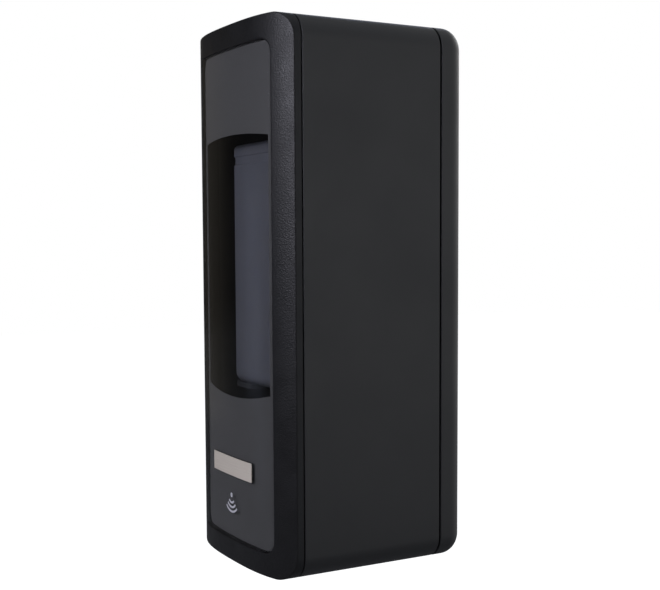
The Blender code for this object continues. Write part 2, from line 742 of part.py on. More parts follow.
def rib_grid():
    """The lattice of ribs on the tray's floor: one outline with a hole for each cell."""
    pitch = RIB_CELL + RIB_THICKNESS
    half_x = (RIB_COLUMNS * pitch + RIB_THICKNESS) / 2
    half_z = (RIB_ROWS * pitch + RIB_THICKNESS) / 2
    loops = [square(-half_x, half_x, -half_z, half_z)]
    for column in range(RIB_COLUMNS):
        for row in range(RIB_ROWS):
            x = -half_x + RIB_THICKNESS + column * pitch
            z = -half_z + RIB_THICKNESS + row * pitch
            loops.append(square(x, x + RIB_CELL, z, z + RIB_CELL)[::-1])
    return plate("rib_grid", loops, -PLATE_FLOOR - RIB_HEIGHT, -PLATE_FLOOR + EMBED)


def knuckle_spans():
    """Where the cover's two knuckles lie along the hinge."""
    low = EAR_INNER_X + EAR_WIDTH + GAP
    high = low + COVER_KNUCKLE_WIDTH
    return [(low, high), (-high, -low)]


def ear_spans():
    """Where the back plate's four ears lie along the hinge."""
    outer = EAR_INNER_X + EAR_WIDTH + COVER_KNUCKLE_WIDTH + 2 * GAP
    spans = [(EAR_INNER_X, EAR_INNER_X + EAR_WIDTH), (outer, outer + EAR_WIDTH)]
    return spans + [(-high, -low) for low, high in spans]


def make_hinge_pins(steel):
    """Two steel pins, one through each pair of ears."""
    for side, name in ((-1, "hinge_pin_left"), (1, "hinge_pin_right")):
        middle = side * (EAR_INNER_X + EAR_WIDTH + GAP + COVER_KNUCKLE_WIDTH / 2)
        part(rod(name, "X", HINGE_PIN_RADIUS, middle - PIN_LENGTH / 2, middle + PIN_LENGTH / 2,
                 (HINGE_Y, HINGE_Z), ROUND_STEPS // 2), steel)


# Hinged cover: shell, front frame, panel, mask and plate

def make_cover_shell(plastic):
    """The open box of the sides, top and bottom, with its outlet, lock hole and knuckles."""
    shell = part(plate("cover_shell", [case_outline(0), case_outline(WALL)[::-1]], COVER_FRONT, COVER_REAR),
                 plastic)
    outlet = rounded(-OUTLET_WIDTH / 2, OUTLET_WIDTH / 2, OUTLET_FRONT, OUTLET_BACK, OUTLET_RADIUS)
    cut(shell, plate("outlet", [outlet], -HALF_HEIGHT - OVERRUN, -HALF_HEIGHT + WALL + OVERRUN, "XY"))
    cut(shell, rod("lock_hole", "Z", LOCK_RADIUS + GAP, HALF_HEIGHT - WALL - OVERRUN,
                   HALF_HEIGHT + OVERRUN, (0, LOCK_Y)))
    cut(shell, rod("lock_seat", "Z", LOCK_FLANGE_RADIUS + GAP, HALF_HEIGHT - LOCK_FLANGE_THICKNESS - GAP,
                   HALF_HEIGHT + OVERRUN, (0, LOCK_Y)))
    for low, high in ear_spans():
        cut(shell, rod("ear_room", "X", KNUCKLE_RADIUS + KNUCKLE_SWING_CLEARANCE,
                       low - GAP, high + GAP, (HINGE_Y, HINGE_Z)))
    for low, high in knuckle_spans():
        join(shell, hinge_lug("knuckle", low, high, -1, 2 * HINGE_SETBACK))
    return bore_hinge(shell)


def panel_outline(margin):
    """The panel's outline, grown by `margin`."""
    half_x = PANEL_HALF_WIDTH + margin
    half_z = PANEL_HALF_HEIGHT + margin
    return rounded(-half_x, half_x, -half_z, half_z, PANEL_RADIUS + margin)


def make_front_bezel(plastic):
    """The curved front frame: its spigot slides into the shell and its ledge holds the panel."""
    spigot_rear = BEZEL_REAR + SPIGOT_LENGTH
    bezel = part(plate("front_bezel", [case_outline(0)], -DEPTH - OVERRUN, spigot_rear), plastic)
    keep(bezel, behind_front("front_form", 0, OVERRUN))
    inset = WALL + GAP
    around = square(-WIDTH, WIDTH, -HEIGHT, HEIGHT)
    cut(bezel, plate("spigot_step", [around, case_outline(inset)[::-1]], BEZEL_REAR, spigot_rear + OVERRUN))
    ledge_back = PANEL_THICKNESS + MASK_THICKNESS + 2 * GAP + LEDGE_THICKNESS
    cavity = plate("bezel_cavity", [case_outline(inset + SPIGOT_WALL)], -DEPTH, spigot_rear + OVERRUN)
    keep(cavity, behind_front("cavity_form", ledge_back, OVERRUN))
    cut(bezel, cavity)
    cut(bezel, plate("front_opening", [panel_outline(PANEL_GROOVE - LEDGE_WIDTH)],
                     -DEPTH - 2 * OVERRUN, spigot_rear + 2 * OVERRUN))
    recess = plate("panel_recess", [panel_outline(PANEL_GROOVE)], -DEPTH - 2 * OVERRUN, spigot_rear + OVERRUN)
    keep(recess, before_front("recess_form", ledge_back - LEDGE_THICKNESS))
    cut(bezel, recess)
    return bezel


def make_front_panel(smoked):
    """The smoked panel, flush in the frame, with a shallow pocket for its plate."""
    panel = part(plate("front_panel", [panel_outline(0)], -DEPTH - OVERRUN, BEZEL_REAR), smoked)
    keep(panel, front_layer("panel_form", 0, PANEL_THICKNESS))
    pocket = plate("plate_pocket", [plate_outline(GAP)], -DEPTH - OVERRUN, BEZEL_REAR)
    keep(pocket, before_front("pocket_form", PLATE_POCKET))
    cut(panel, pocket)
    return panel


def plate_outline(margin):
    """The plate's outline, grown by `margin`."""
    half_x = PLATE_WIDTH / 2 + margin
    half_z = PLATE_HEIGHT / 2 + margin
    return rounded(-half_x, half_x, PLATE_Z - half_z, PLATE_Z + half_z, PLATE_CORNER + margin)


def make_name_plate(metal):
    """A bare satin plate that follows the panel's curve."""
    plain = part(plate("name_plate", [plate_outline(0)], -DEPTH - OVERRUN, BEZEL_REAR), metal)
    return keep(plain, front_layer("plate_form", PLATE_SINK, PLATE_SINK + PLATE_THICKNESS))


def window_outline():
    """The window's outline: straight sides, and ends that bow outwards."""
    upper = []
    lower = []
    for step in range(FRONT_STEPS + 1):
        share = 2 * step / FRONT_STEPS - 1
        x = share * WINDOW_HALF_WIDTH
        lower.append((x, WINDOW_BOTTOM + WINDOW_BOTTOM_SAG * share * share))
        upper.append((x, WINDOW_TOP - WINDOW_TOP_SAG * share * share))
    return lower + upper[::-1]


def make_panel_mask(film):
    """The opaque film behind the panel, with the window left clear."""
    near = PANEL_THICKNESS + GAP
    mask = part(plate("panel_mask", [panel_outline(0)], -DEPTH - OVERRUN, BEZEL_REAR), film)
    keep(mask, front_layer("mask_form", near, near + MASK_THICKNESS))
    return cut(mask, plate("window", [window_outline()], -DEPTH - OVERRUN, BEZEL_REAR + OVERRUN))


# Lock on the cover's top

def make_lock(steel, plastic):
    """A flush barrel and nut in the cover's top, and the turning plug with its cam."""
    top = HALF_HEIGHT - GAP
    bottom = top - LOCK_LENGTH
    flange = top - LOCK_FLANGE_THICKNESS + GAP
    barrel = part(turned("lock_barrel", [(0, top), (LOCK_FLANGE_RADIUS, top), (LOCK_FLANGE_RADIUS, flange),
                                         (LOCK_RADIUS, flange), (LOCK_RADIUS, bottom), (0, bottom)],
                         (0, LOCK_Y, 0)), steel)
    cut(barrel, rod("plug_bore", "Z", LOCK_PLUG_RADIUS + GAP, bottom - OVERRUN, top + OVERRUN, (0, LOCK_Y)))
    nut_top = HALF_HEIGHT - WALL - GAP
    hexagon = [ring(LOCK_NUT_RADIUS, (0, LOCK_Y), HEX_SIDES), ring(LOCK_RADIUS + GAP, (0, LOCK_Y))[::-1]]
    nut = part(plate("lock_nut", hexagon, nut_top - LOCK_NUT_THICKNESS, nut_top, "XY"), steel)
    cam_top = bottom - GAP
    cam_bottom = cam_top - CAM_THICKNESS
    head_top = cam_bottom - GAP
    plug = part(turned("lock_plug", [(0, top), (LOCK_PLUG_RADIUS, top), (LOCK_PLUG_RADIUS, cam_top + GAP),
                                     (CAM_STEM_RADIUS, cam_top + GAP), (CAM_STEM_RADIUS, head_top),
                                     (CAM_HEAD_RADIUS, head_top),
                                     (CAM_HEAD_RADIUS, head_top - CAM_HEAD_THICKNESS),
                                     (0, head_top - CAM_HEAD_THICKNESS)], (0, LOCK_Y, 0)), steel)
    cut(plug, block("key_slot", -KEY_SLOT_LENGTH / 2, KEY_SLOT_LENGTH / 2, LOCK_Y - KEY_SLOT_WIDTH / 2,
                    LOCK_Y + KEY_SLOT_WIDTH / 2, top - KEY_SLOT_DEPTH, top + OVERRUN))
    outline = arc((0, LOCK_Y), CAM_WIDTH / 2, math.pi, 2 * math.pi, 2 * ARC_STEPS)
    outline += [(CAM_WIDTH / 2, LOCK_Y + CAM_REACH), (-CAM_WIDTH / 2, LOCK_Y + CAM_REACH)]
    cam = part(plate("lock_cam", [outline, ring(CAM_STEM_RADIUS + GAP, (0, LOCK_Y))[::-1]],
                     cam_bottom, cam_top, "XY"), steel)
    lock_axis = pivot("lock_axis", (0, LOCK_Y, cam_bottom))
    hang(lock_axis, plug, cam)
    keeper_low = cam_bottom - (KEEPER_HEIGHT - CAM_THICKNESS) / 2
    catch_y = LOCK_Y - CAM_WIDTH / 2 - KEEPER_CATCH
    arm = KEEPER_OUTER_X - KEEPER_THICKNESS
    outline = [(KEEPER_INNER_X, catch_y), (arm, catch_y), (arm, FRAME_FACE - GAP - KEEPER_THICKNESS),
               (KEEPER_INNER_X, FRAME_FACE - GAP - KEEPER_THICKNESS), (KEEPER_INNER_X, FRAME_FACE - GAP),
               (KEEPER_OUTER_X, FRAME_FACE - GAP), (KEEPER_OUTER_X, catch_y - KEEPER_THICKNESS),
               (KEEPER_INNER_X, catch_y - KEEPER_THICKNESS)]
    part(plate("lock_keeper", [outline], keeper_low, keeper_low + KEEPER_HEIGHT, "XY"), plastic)
    return barrel, nut, lock_axis


# Inner frame, shelf and screws

def frame_screw_places():
    return [(x, z) for z in (BOSS_TOP_Z, BOSS_LOW_Z) for x in (-BOSS_X, BOSS_X)]


def box_screw_places():
    return [(x, z) for z in (BOX_TOP - BOX_SCREW_INSET, BOX_BOTTOM + BOX_SCREW_INSET)
            for x in (-BOX_SCREW_X, BOX_SCREW_X)]


def shelf_screw_z():
    return BOTTLE_BOTTOM + SHELF_BACK_HEIGHT / 2


def make_inner_frame(plastic):
    """The upright frame on the back plate's bosses, with stiffening flanges at its sides."""
    edge = FRAME_HALF_WIDTH
    face = rounded(-edge, edge, FRAME_BOTTOM, FRAME_TOP, FRAME_CORNER)
    hole = SCREW_RADIUS + SCREW_CLEARANCE
    holes = [ring(hole, place, ROUND_STEPS // 2)[::-1] for place in frame_screw_places() + box_screw_places()]
    holes += [ring(hole, (side * SHELF_SCREW_X, shelf_screw_z()), ROUND_STEPS // 2)[::-1] for side in (-1, 1)]
    frame = part(plate("inner_frame", [face] + holes, FRAME_FACE, FRAME_REAR), plastic)
    for side in (-1, 1):
        low, high = sorted((side * edge, side * (edge - FRAME_FLANGE_THICKNESS)))
        join(frame, block("flange", low, high, FRAME_FACE - FRAME_FLANGE, FRAME_REAR - EMBED,
                          BOX_TOP + FRAME_FLANGE_RISE, FRAME_TOP - FRAME_CORNER))
    for x in (-STANDOFF_X, STANDOFF_X):
        for z in STANDOFF_ZS:
            join(frame, rod("standoff", "Y", STANDOFF_RADIUS, BOARD_REAR + GAP, FRAME_FACE + EMBED,
                            (x, z), ROUND_STEPS // 2))
    return frame


def make_screw(name, place, under_head, length, steel):
    """A pan-head screw whose head sits on a face and whose shank runs back from it."""
    seat = under_head - GAP
    profile = [(0, length - GAP), (SCREW_RADIUS, length - GAP), (SCREW_RADIUS, 0),
               (SCREW_HEAD_RADIUS, 0), (SCREW_HEAD_RADIUS, -SCREW_HEAD_HEIGHT * HEAD_SIDE_SHARE),
               (SCREW_HEAD_RADIUS * HEAD_CROWN_SHARE, -SCREW_HEAD_HEIGHT), (0, -SCREW_HEAD_HEIGHT)]
    return part(turned(name, profile, (place[0], seat, place[1]), "Y", ROUND_STEPS // 2), steel)


def make_screws(steel):
    """The screws of the frame, the gearbox and the shelf."""
    for number, place in enumerate(frame_screw_places(), 1):
        make_screw("frame_screw_%d" % number, place, FRAME_FACE, FRAME_SCREW_LENGTH, steel)
    for number, place in enumerate(box_screw_places(), 1):
        make_screw("gearbox_screw_%d" % number, place, LID_FACE, BOX_SCREW_LENGTH, steel)
    for side, name in ((-1, "shelf_screw_left"), (1, "shelf_screw_right")):
        make_screw(name, (side * SHELF_SCREW_X, shelf_screw_z()), SHELF_BACK_FACE,
                   SHELF_THICKNESS + FRAME_THICKNESS, steel)


def make_bottle_shelf(plastic):
    """The seat of the refill: a floor with an open mouth, two cheeks and a back flange."""
    top = BOTTLE_BOTTOM - GAP
    bottom = top - SHELF_THICKNESS
    rear = FRAME_FACE - GAP
    mouth = arc((0, PUMP_Y), SHELF_MOUTH_RADIUS, 0, math.pi, 4 * ARC_STEPS)
    half = SHELF_HALF_WIDTH
    outline = [(half, rear)] + mouth_side(half, 1) + mouth + mouth_side(half, -1)[::-1] + [(-half, rear)]
    shelf = part(plate("bottle_shelf", [outline], bottom, top, "XY"), plastic)
    for side in (-1, 1):
        low, high = sorted((side * half, side * (half - SHELF_CHEEK_THICKNESS)))
        cheek = [(rear, top - EMBED), (rear, top + SHELF_CHEEK_HEIGHT),
                 (SHELF_BACK_FACE, top + SHELF_CHEEK_HEIGHT), (SHELF_CHEEK_FRONT, top - EMBED)]
        join(shelf, plate("cheek", [cheek], low, high, "YZ"))
    join(shelf, block("back_flange", -half + EMBED, half - EMBED, SHELF_BACK_FACE, rear,
                      top - EMBED, top + SHELF_BACK_HEIGHT))
    for side in (-1, 1):
        cut(shelf, rod("shelf_screw_hole", "Y", SCREW_RADIUS + SCREW_CLEARANCE, SHELF_BACK_FACE - OVERRUN,
                       rear + OVERRUN, (side * SHELF_SCREW_X, shelf_screw_z()), ROUND_STEPS // 2))
    return shelf


def mouth_side(half, side):
    """One front corner of the shelf, down to the mouth's straight side."""
    turn = SHELF_CORNER
    corner = arc((half - turn, SHELF_FRONT + turn), turn, 0, -math.pi / 2)
    return [(side * x, y) for x, y in corner + [(SHELF_MOUTH_RADIUS, SHELF_FRONT)]]


# Refill: bottle, collar and pump

def make_bottle(plastic):
    """A filled bottle with round edges, and the neck under it."""
    half = BOTTLE_HALF_WIDTH
    body = plate("soap_bottle", [rounded(-half, half, BOTTLE_FRONT, BOTTLE_BACK, BOTTLE_EDGE)],
                 BOTTLE_BOTTOM, BOTTLE_TOP, "XY")
    bottle = part(body, plastic)
    shape = bmesh.new()
    shape.from_mesh(bottle.data)
    edges = [edge for edge in shape.edges if len(edge.link_faces) == 2
             and abs(edge.link_faces[0].normal.z - edge.link_faces[1].normal.z) > EMBED]
    bmesh.ops.bevel(shape, geom=edges, offset=BOTTLE_ROUND, offset_type="OFFSET", segments=ARC_STEPS,
                    profile=ROUND_PROFILE_SHARE, affect="EDGES", clamp_overlap=False)
    shape.to_mesh(bottle.data)
    shape.free()
    join(bottle, rod("neck", "Z", NECK_RADIUS, BOTTLE_BOTTOM - NECK_LENGTH, BOTTLE_BOTTOM + BOTTLE_ROUND,
                     (0, PUMP_Y)))
    return bottle


def ribbed_ring(radius, depth, count):
    """A circle with shallow grip ribs."""
    points = []
    for rib in range(count):
        for share, out in RIB_SHARES:
            turn = 2 * math.pi * (rib + share) / count
            reach = radius - depth * out
            points.append((reach * math.cos(turn), PUMP_Y + reach * math.sin(turn)))
    return points


def make_collar(plastic):
    """The screw collar that holds the pump to the neck."""
    top = BOTTLE_BOTTOM - COLLAR_TOP_GAP
    bottom = top - COLLAR_LENGTH
    collar = part(plate("bottle_collar", [ribbed_ring(COLLAR_RADIUS, COLLAR_RIB_DEPTH, COLLAR_RIBS)],
                        bottom, top, "XY"), plastic)
    cut(collar, rod("collar_bore", "Z", NECK_RADIUS + GAP, bottom + COLLAR_FLOOR, top + OVERRUN, (0, PUMP_Y)))
    cut(collar, rod("collar_hole", "Z", PUMP_BODY_RADIUS + GAP, bottom - OVERRUN, top, (0, PUMP_Y)))
    return collar


def make_pump(plastic, steel):
    """The pump under the bottle, its sliding nozzle and the spring between them."""
    seat = BOTTLE_BOTTOM - COLLAR_TOP_GAP - COLLAR_LENGTH + COLLAR_FLOOR + GAP
    flange_top = seat + PUMP_FLANGE_THICKNESS
    body = part(turned("pump_body", [(0, flange_top), (PUMP_FLANGE_RADIUS, flange_top),
                                     (PUMP_FLANGE_RADIUS, seat), (PUMP_BODY_RADIUS, seat),
                                     (PUMP_BODY_RADIUS, PUMP_BODY_END), (PUMP_BORE_RADIUS, PUMP_BODY_END),
                                     (PUMP_BORE_RADIUS, PUMP_BODY_END + PUMP_BORE_DEPTH),
                                     (0, PUMP_BODY_END + PUMP_BORE_DEPTH)], (0, PUMP_Y, 0)), plastic)
    flange_low = NOZZLE_FLANGE_TOP - NOZZLE_FLANGE_THICKNESS
    nozzle = part(turned("pump_nozzle", [(0, NOZZLE_STEM_TOP), (NOZZLE_STEM_RADIUS, NOZZLE_STEM_TOP),
                                         (NOZZLE_STEM_RADIUS, NOZZLE_FLANGE_TOP),
                                         (NOZZLE_FLANGE_RADIUS, NOZZLE_FLANGE_TOP),
                                         (NOZZLE_FLANGE_RADIUS, flange_low), (NOZZLE_STEM_RADIUS, flange_low),
                                         (NOZZLE_STEM_RADIUS, NOZZLE_NECK_END),
                                         (NOZZLE_TIP_RADIUS, NOZZLE_TIP_END),
                                         (NOZZLE_BORE_RADIUS, NOZZLE_TIP_END),
                                         (NOZZLE_BORE_RADIUS, NOZZLE_STEM_TOP - NOZZLE_STEM_RADIUS),
                                         (0, NOZZLE_STEM_TOP - NOZZLE_STEM_RADIUS)],
                         (0, PUMP_Y, 0)), plastic)
    make_spring(steel)
    return body, nozzle


def make_spring(steel):
    """The return spring: a round wire wound on a helix, with a closed step at each end."""
    low = NOZZLE_FLANGE_TOP + GAP + SPRING_WIRE_RADIUS
    high = PUMP_BODY_END - GAP - SPRING_WIRE_RADIUS
    count = SPRING_TURNS * SPRING_POINTS
    curve = bpy.data.curves.new("pump_spring", "CURVE")
    curve.dimensions = "3D"
    curve.bevel_depth = SPRING_WIRE_RADIUS
    curve.bevel_resolution = 1
    curve.use_fill_caps = True
    line = curve.splines.new("POLY")
    line.points.add(count)
    for step, point in enumerate(line.points):
        turn = 2 * math.pi * step / SPRING_POINTS
        height = low + (high - low) * step / count
        point.co = (SPRING_RADIUS * math.cos(turn), PUMP_Y + SPRING_RADIUS * math.sin(turn), height, 1)
    wire = bpy.data.objects.new("pump_spring_wire", curve)
    bpy.context.scene.collection.objects.link(wire)
    bpy.context.view_layer.update()
    mesh = bpy.data.meshes.new_from_object(wire.evaluated_get(bpy.context.evaluated_depsgraph_get()))
    bpy.data.objects.remove(wire, do_unlink=True)
    weld(mesh)
    spring = bpy.data.objects.new("pump_spring", mesh)
    bpy.context.scene.collection.objects.link(spring)
    print("least gap between spring turns", (high - low) / SPRING_TURNS - 2 * SPRING_WIRE_RADIUS)
    return part(spring, steel)


# Gears

def involute(angle):
    return math.tan(angle) - angle


def gear_outline(module, teeth, phase, centre):
    """The outline of a spur gear; `phase` is the direction of one tooth's middle."""
    pitch_radius = radius_of(module, teeth)
    base = pitch_radius * math.cos(PRESSURE_ANGLE)
    tip = pitch_radius + module * ADDENDUM_SHARE
    root = pitch_radius - module * DEDENDUM_SHARE
    half = math.pi / (2 * teeth) - module * BACKLASH_SHARE / (2 * pitch_radius)
    start = max(base, root)
    flank = []
    for step in range(FLANK_STEPS + 1):
        radius = start + (tip - start) * step / FLANK_STEPS
        lean = half + involute(PRESSURE_ANGLE) - involute(math.acos(min(1, base / radius)))
        flank.append((radius, lean))
    if root < base:
        flank.insert(0, (root, flank[0][1]))
    points = []
    for tooth in range(teeth):
        middle = phase + 2 * math.pi * tooth / teeth
        side = [(radius, middle - lean) for radius, lean in flank]
        side += [(radius, middle + lean) for radius, lean in reversed(flank)]
        points += [(centre[0] + r * math.cos(t), centre[1] + r * math.sin(t)) for r, t in side]
    return points


def meshing_phase(phase, teeth, bearing, other_teeth):
    """The phase that puts a space of the next gear opposite a tooth of this one."""
    turned_share = (bearing - phase) * teeth / (2 * math.pi)
    return bearing + math.pi - (2 * math.pi / other_teeth) * (HALF_SHARE - turned_share)


OUTPUT_PHASE = math.pi
GEAR_2_PINION_PHASE = meshing_phase(OUTPUT_PHASE, OUTPUT_TEETH, GEAR_2_BEARING, GEAR_2_PINION_TEETH)
GEAR_1_PINION_PHASE = meshing_phase(GEAR_2_PINION_PHASE, GEAR_2_TEETH, GEAR_1_BEARING, GEAR_1_PINION_TEETH)
MOTOR_PHASE = meshing_phase(GEAR_1_PINION_PHASE, GEAR_1_TEETH, MOTOR_BEARING, MOTOR_PINION_TEETH)


def toothed(name, module, teeth, phase, place, front, rear):
    """One toothed layer between two depths."""
    return plate(name, [gear_outline(module, teeth, phase, place)], front, rear)


def hub(name, radius, place, front, rear):
    """A plain round hub."""
    return plate(name, [ring(radius, place)], front, rear)


def drill(gear, place):
    """The bore that runs on the axle, right through a gear."""
    return cut(gear, rod("axle_bore", "Y", AXLE_RADIUS + GEAR_BORE_CLEARANCE, RACK_FACE - OVERRUN,
                         OUTPUT_WHEEL_REAR + OVERRUN, place))


def make_gears(plastic, steel):
    """The compound gears from the motor to the rack, each hung from an empty on its axle."""
    output = part(toothed("output_gear", MODULE_OUTPUT, OUTPUT_TEETH, OUTPUT_PHASE, OUTPUT_PLACE,
                          OUTPUT_WHEEL_FACE, OUTPUT_WHEEL_REAR), plastic)
    rim = radius_of(MODULE_OUTPUT, OUTPUT_TEETH) - WHEEL_RIM
    cut(output, plate("output_web", [ring(rim, OUTPUT_PLACE), ring(OUTPUT_HUB_RADIUS, OUTPUT_PLACE)[::-1]],
                      OUTPUT_WHEEL_FACE - OVERRUN, OUTPUT_WHEEL_REAR - WEB_THICKNESS))
    join(output, hub("output_hub", OUTPUT_HUB_RADIUS - GAP, OUTPUT_PLACE, RACK_REAR - EMBED,
                     OUTPUT_WHEEL_FACE + EMBED))
    join(output, toothed("rack_pinion", MODULE_RACK, RACK_PINION_TEETH, OUTPUT_PHASE, OUTPUT_PLACE,
                         RACK_FACE, RACK_REAR))
    second = part(toothed("gear_2", MODULE_OUTPUT, GEAR_2_PINION_TEETH, GEAR_2_PINION_PHASE, GEAR_2_PLACE,
                          GEAR_2_REAR - EMBED, OUTPUT_WHEEL_REAR), plastic)
    join(second, toothed("gear_2_wheel", MODULE_MIDDLE, GEAR_2_TEETH, GEAR_2_PINION_PHASE, GEAR_2_PLACE,
                         GEAR_2_FACE, GEAR_2_REAR))
    join(second, hub("gear_2_hub", HUB_RADIUS, GEAR_2_PLACE, LID_REAR + GAP, GEAR_2_FACE + EMBED))
    first = part(toothed("gear_1", MODULE_MIDDLE, GEAR_1_PINION_TEETH, GEAR_1_PINION_PHASE, GEAR_1_PLACE,
                         GEAR_1_REAR - EMBED, GEAR_2_REAR + PINION_OVERHANG), plastic)
    join(first, toothed("gear_1_wheel", MODULE_MOTOR, GEAR_1_TEETH, GEAR_1_PINION_PHASE, GEAR_1_PLACE,
                        GEAR_1_FACE, GEAR_1_REAR))
    join(first, hub("gear_1_hub", HUB_RADIUS, GEAR_1_PLACE, GEAR_2_REAR + PINION_OVERHANG - EMBED,
                    OUTPUT_WHEEL_REAR))
    drive = part(toothed("motor_pinion", MODULE_MOTOR, MOTOR_PINION_TEETH, MOTOR_PHASE, MOTOR_PLACE,
                         GEAR_1_FACE - PINION_OVERHANG, GEAR_1_REAR + PINION_OVERHANG), steel)
    join(drive, rod("motor_shaft", "Y", MOTOR_SHAFT_RADIUS, MOTOR_REAR - MOTOR_SHAFT_DEPTH + GAP,
                    GEAR_1_FACE, MOTOR_PLACE, ROUND_STEPS // 2))
    for name, place, front in (("gear_axle_1", GEAR_1_PLACE, LID_FACE), ("gear_axle_2", GEAR_2_PLACE, LID_FACE),
                               ("output_axle", OUTPUT_PLACE, RACK_FACE - GAP)):
        part(rod(name, "Y", AXLE_RADIUS, front, BOX_REAR - GAP, place), steel)
    for gear, place in ((output, OUTPUT_PLACE), (second, GEAR_2_PLACE), (first, GEAR_1_PLACE)):
        drill(gear, place)
    for gear, place in ((output, OUTPUT_PLACE), (second, GEAR_2_PLACE), (first, GEAR_1_PLACE),
                        (drive, MOTOR_PLACE)):
        hang(pivot(gear.name + "_axis", (place[0], gear.location.y, place[1])), gear)


# Gearbox, motor and lifter

def box_outline(inset):
    return rounded(-BOX_HALF_WIDTH + inset, BOX_HALF_WIDTH - inset, BOX_BOTTOM + inset, BOX_TOP - inset,
                   BOX_CORNER - inset)


def make_gearbox(plastic):
    """The gearbox: a tray with axle bosses and screw posts, and its lid with the rack's guide."""
    tray = part(plate("gearbox_base", [box_outline(0)], BOX_RIM, BOX_REAR), plastic)
    cut(tray, plate("gear_room", [box_outline(BOX_WALL)], BOX_RIM - OVERRUN, BOX_FLOOR_FACE))
    shaft_room = AXLE_RADIUS + GEAR_BORE_CLEARANCE
    for place in (GEAR_1_PLACE, GEAR_2_PLACE, OUTPUT_PLACE):
        join(tray, rod("axle_boss", "Y", AXLE_BOSS_RADIUS, BOX_FLOOR_FACE - AXLE_BOSS_HEIGHT,
                       BOX_FLOOR_FACE + EMBED, place))
        cut(tray, rod("axle_hole", "Y", shaft_room, BOX_RIM, BOX_REAR + OVERRUN, place))
    for place in box_screw_places():
        join(tray, rod("post", "Y", BOX_POST_RADIUS, BOX_RIM + GAP, BOX_FLOOR_FACE + EMBED, place))
        cut(tray, rod("post_hole", "Y", SCREW_RADIUS + SCREW_CLEARANCE, BOX_RIM - OVERRUN,
                      BOX_REAR + OVERRUN, place, ROUND_STEPS // 2))
    loops = [box_outline(0)]
    loops += [ring(SCREW_RADIUS + SCREW_CLEARANCE, place, ROUND_STEPS // 2)[::-1] for place in box_screw_places()]
    loops += [ring(shaft_room, place)[::-1] for place in (GEAR_1_PLACE, GEAR_2_PLACE)]
    loops.append(ring(OUTPUT_HUB_RADIUS + GAP, OUTPUT_PLACE)[::-1])
    loops.append(ring(MOTOR_NOSE_RADIUS + GAP, MOTOR_PLACE)[::-1])
    lid = part(plate("gearbox_cover", loops, LID_FACE, LID_REAR), plastic)
    bar_right = RACK_PITCH_X - MODULE_RACK * DEDENDUM_SHARE
    bar_left = bar_right - RACK_BAR_WIDTH
    outer = bar_left - GAP - RAIL_THICKNESS
    lip_rear = RACK_FACE - GAP
    rail = [(outer, LID_FACE + EMBED), (bar_left - GAP, LID_FACE + EMBED), (bar_left - GAP, lip_rear),
            (bar_left - GAP + RAIL_LIP, lip_rear), (bar_left - GAP + RAIL_LIP, lip_rear - RAIL_LIP_THICKNESS),
            (outer, lip_rear - RAIL_LIP_THICKNESS)]
    join(lid, plate("rack_rail", [rail], RAIL_BOTTOM, RAIL_TOP, "XY"))
    return tray, lid


def rack_outline():
    """The rack's outline from the front: a bar with straight-sided teeth towards the pinion."""
    pitch = math.pi * MODULE_RACK
    root_x = RACK_PITCH_X - MODULE_RACK * DEDENDUM_SHARE
    tip_x = RACK_PITCH_X + MODULE_RACK * ADDENDUM_SHARE
    half = (pitch / 2 - MODULE_RACK * BACKLASH_SHARE) / 2
    slope = math.tan(PRESSURE_ANGLE)
    root_half = half + (RACK_PITCH_X - root_x) * slope
    tip_half = half - (tip_x - RACK_PITCH_X) * slope
    points = [(root_x - RACK_BAR_WIDTH, RACK_BOTTOM), (root_x, RACK_BOTTOM)]
    for tooth in range(-RACK_TEETH_BELOW, RACK_TEETH_ABOVE + 1):
        middle = OUTPUT_Z + (tooth + HALF_SHARE) * pitch
        if middle - root_half < RACK_BOTTOM or middle + root_half > RACK_TOP:
            continue
        points += [(root_x, middle - root_half), (tip_x, middle - tip_half),
                   (tip_x, middle + tip_half), (root_x, middle + root_half)]
    return points + [(root_x, RACK_TOP), (root_x - RACK_BAR_WIDTH, RACK_TOP)]


def make_lifter(plastic):
    """The lifter: the rack, the arm before it, and the fork under the nozzle's flange."""
    lifter = part(plate("pump_lifter", [rack_outline()], RACK_FACE, RACK_REAR), plastic)
    fork_top = NOZZLE_FLANGE_TOP - NOZZLE_FLANGE_THICKNESS - GAP
    fork_low = fork_top - FORK_THICKNESS
    bar_right = RACK_PITCH_X - MODULE_RACK * DEDENDUM_SHARE
    bar_left = bar_right - RACK_BAR_WIDTH
    back = RACK_FACE - RAIL_LIP_THICKNESS - LAYER_GAP
    front = PUMP_Y - FORK_FRONT_MARGIN
    slot = arc((0, PUMP_Y), FORK_SLOT_HALF_WIDTH, 0, math.pi, 2 * ARC_STEPS)
    corner = FORK_CORNER
    left_corner = arc((-FORK_HALF_WIDTH + corner, front + corner), corner, math.pi, 3 * math.pi / 2)
    right_corner = arc((FORK_HALF_WIDTH - corner, front + corner), corner, -math.pi / 2, 0)
    outline = [(bar_right, RACK_REAR), (bar_left, RACK_REAR), (bar_left, back - corner)]
    outline += left_corner + [(-FORK_SLOT_HALF_WIDTH, front)] + slot[::-1]
    outline += [(FORK_SLOT_HALF_WIDTH, front)] + right_corner + [(FORK_HALF_WIDTH, back), (bar_right, back)]
    join(lifter, plate("fork", [outline], fork_low, fork_top, "XY"))
    return lifter


def flatted(radius, flat, centre, steps=ROUND_STEPS):
    """A circle with its top and bottom cut flat."""
    turn = math.asin(flat / radius)
    right = arc(centre, radius, -turn, turn, steps // 2)
    left = arc(centre, radius, math.pi - turn, math.pi + turn, steps // 2)
    return right + left


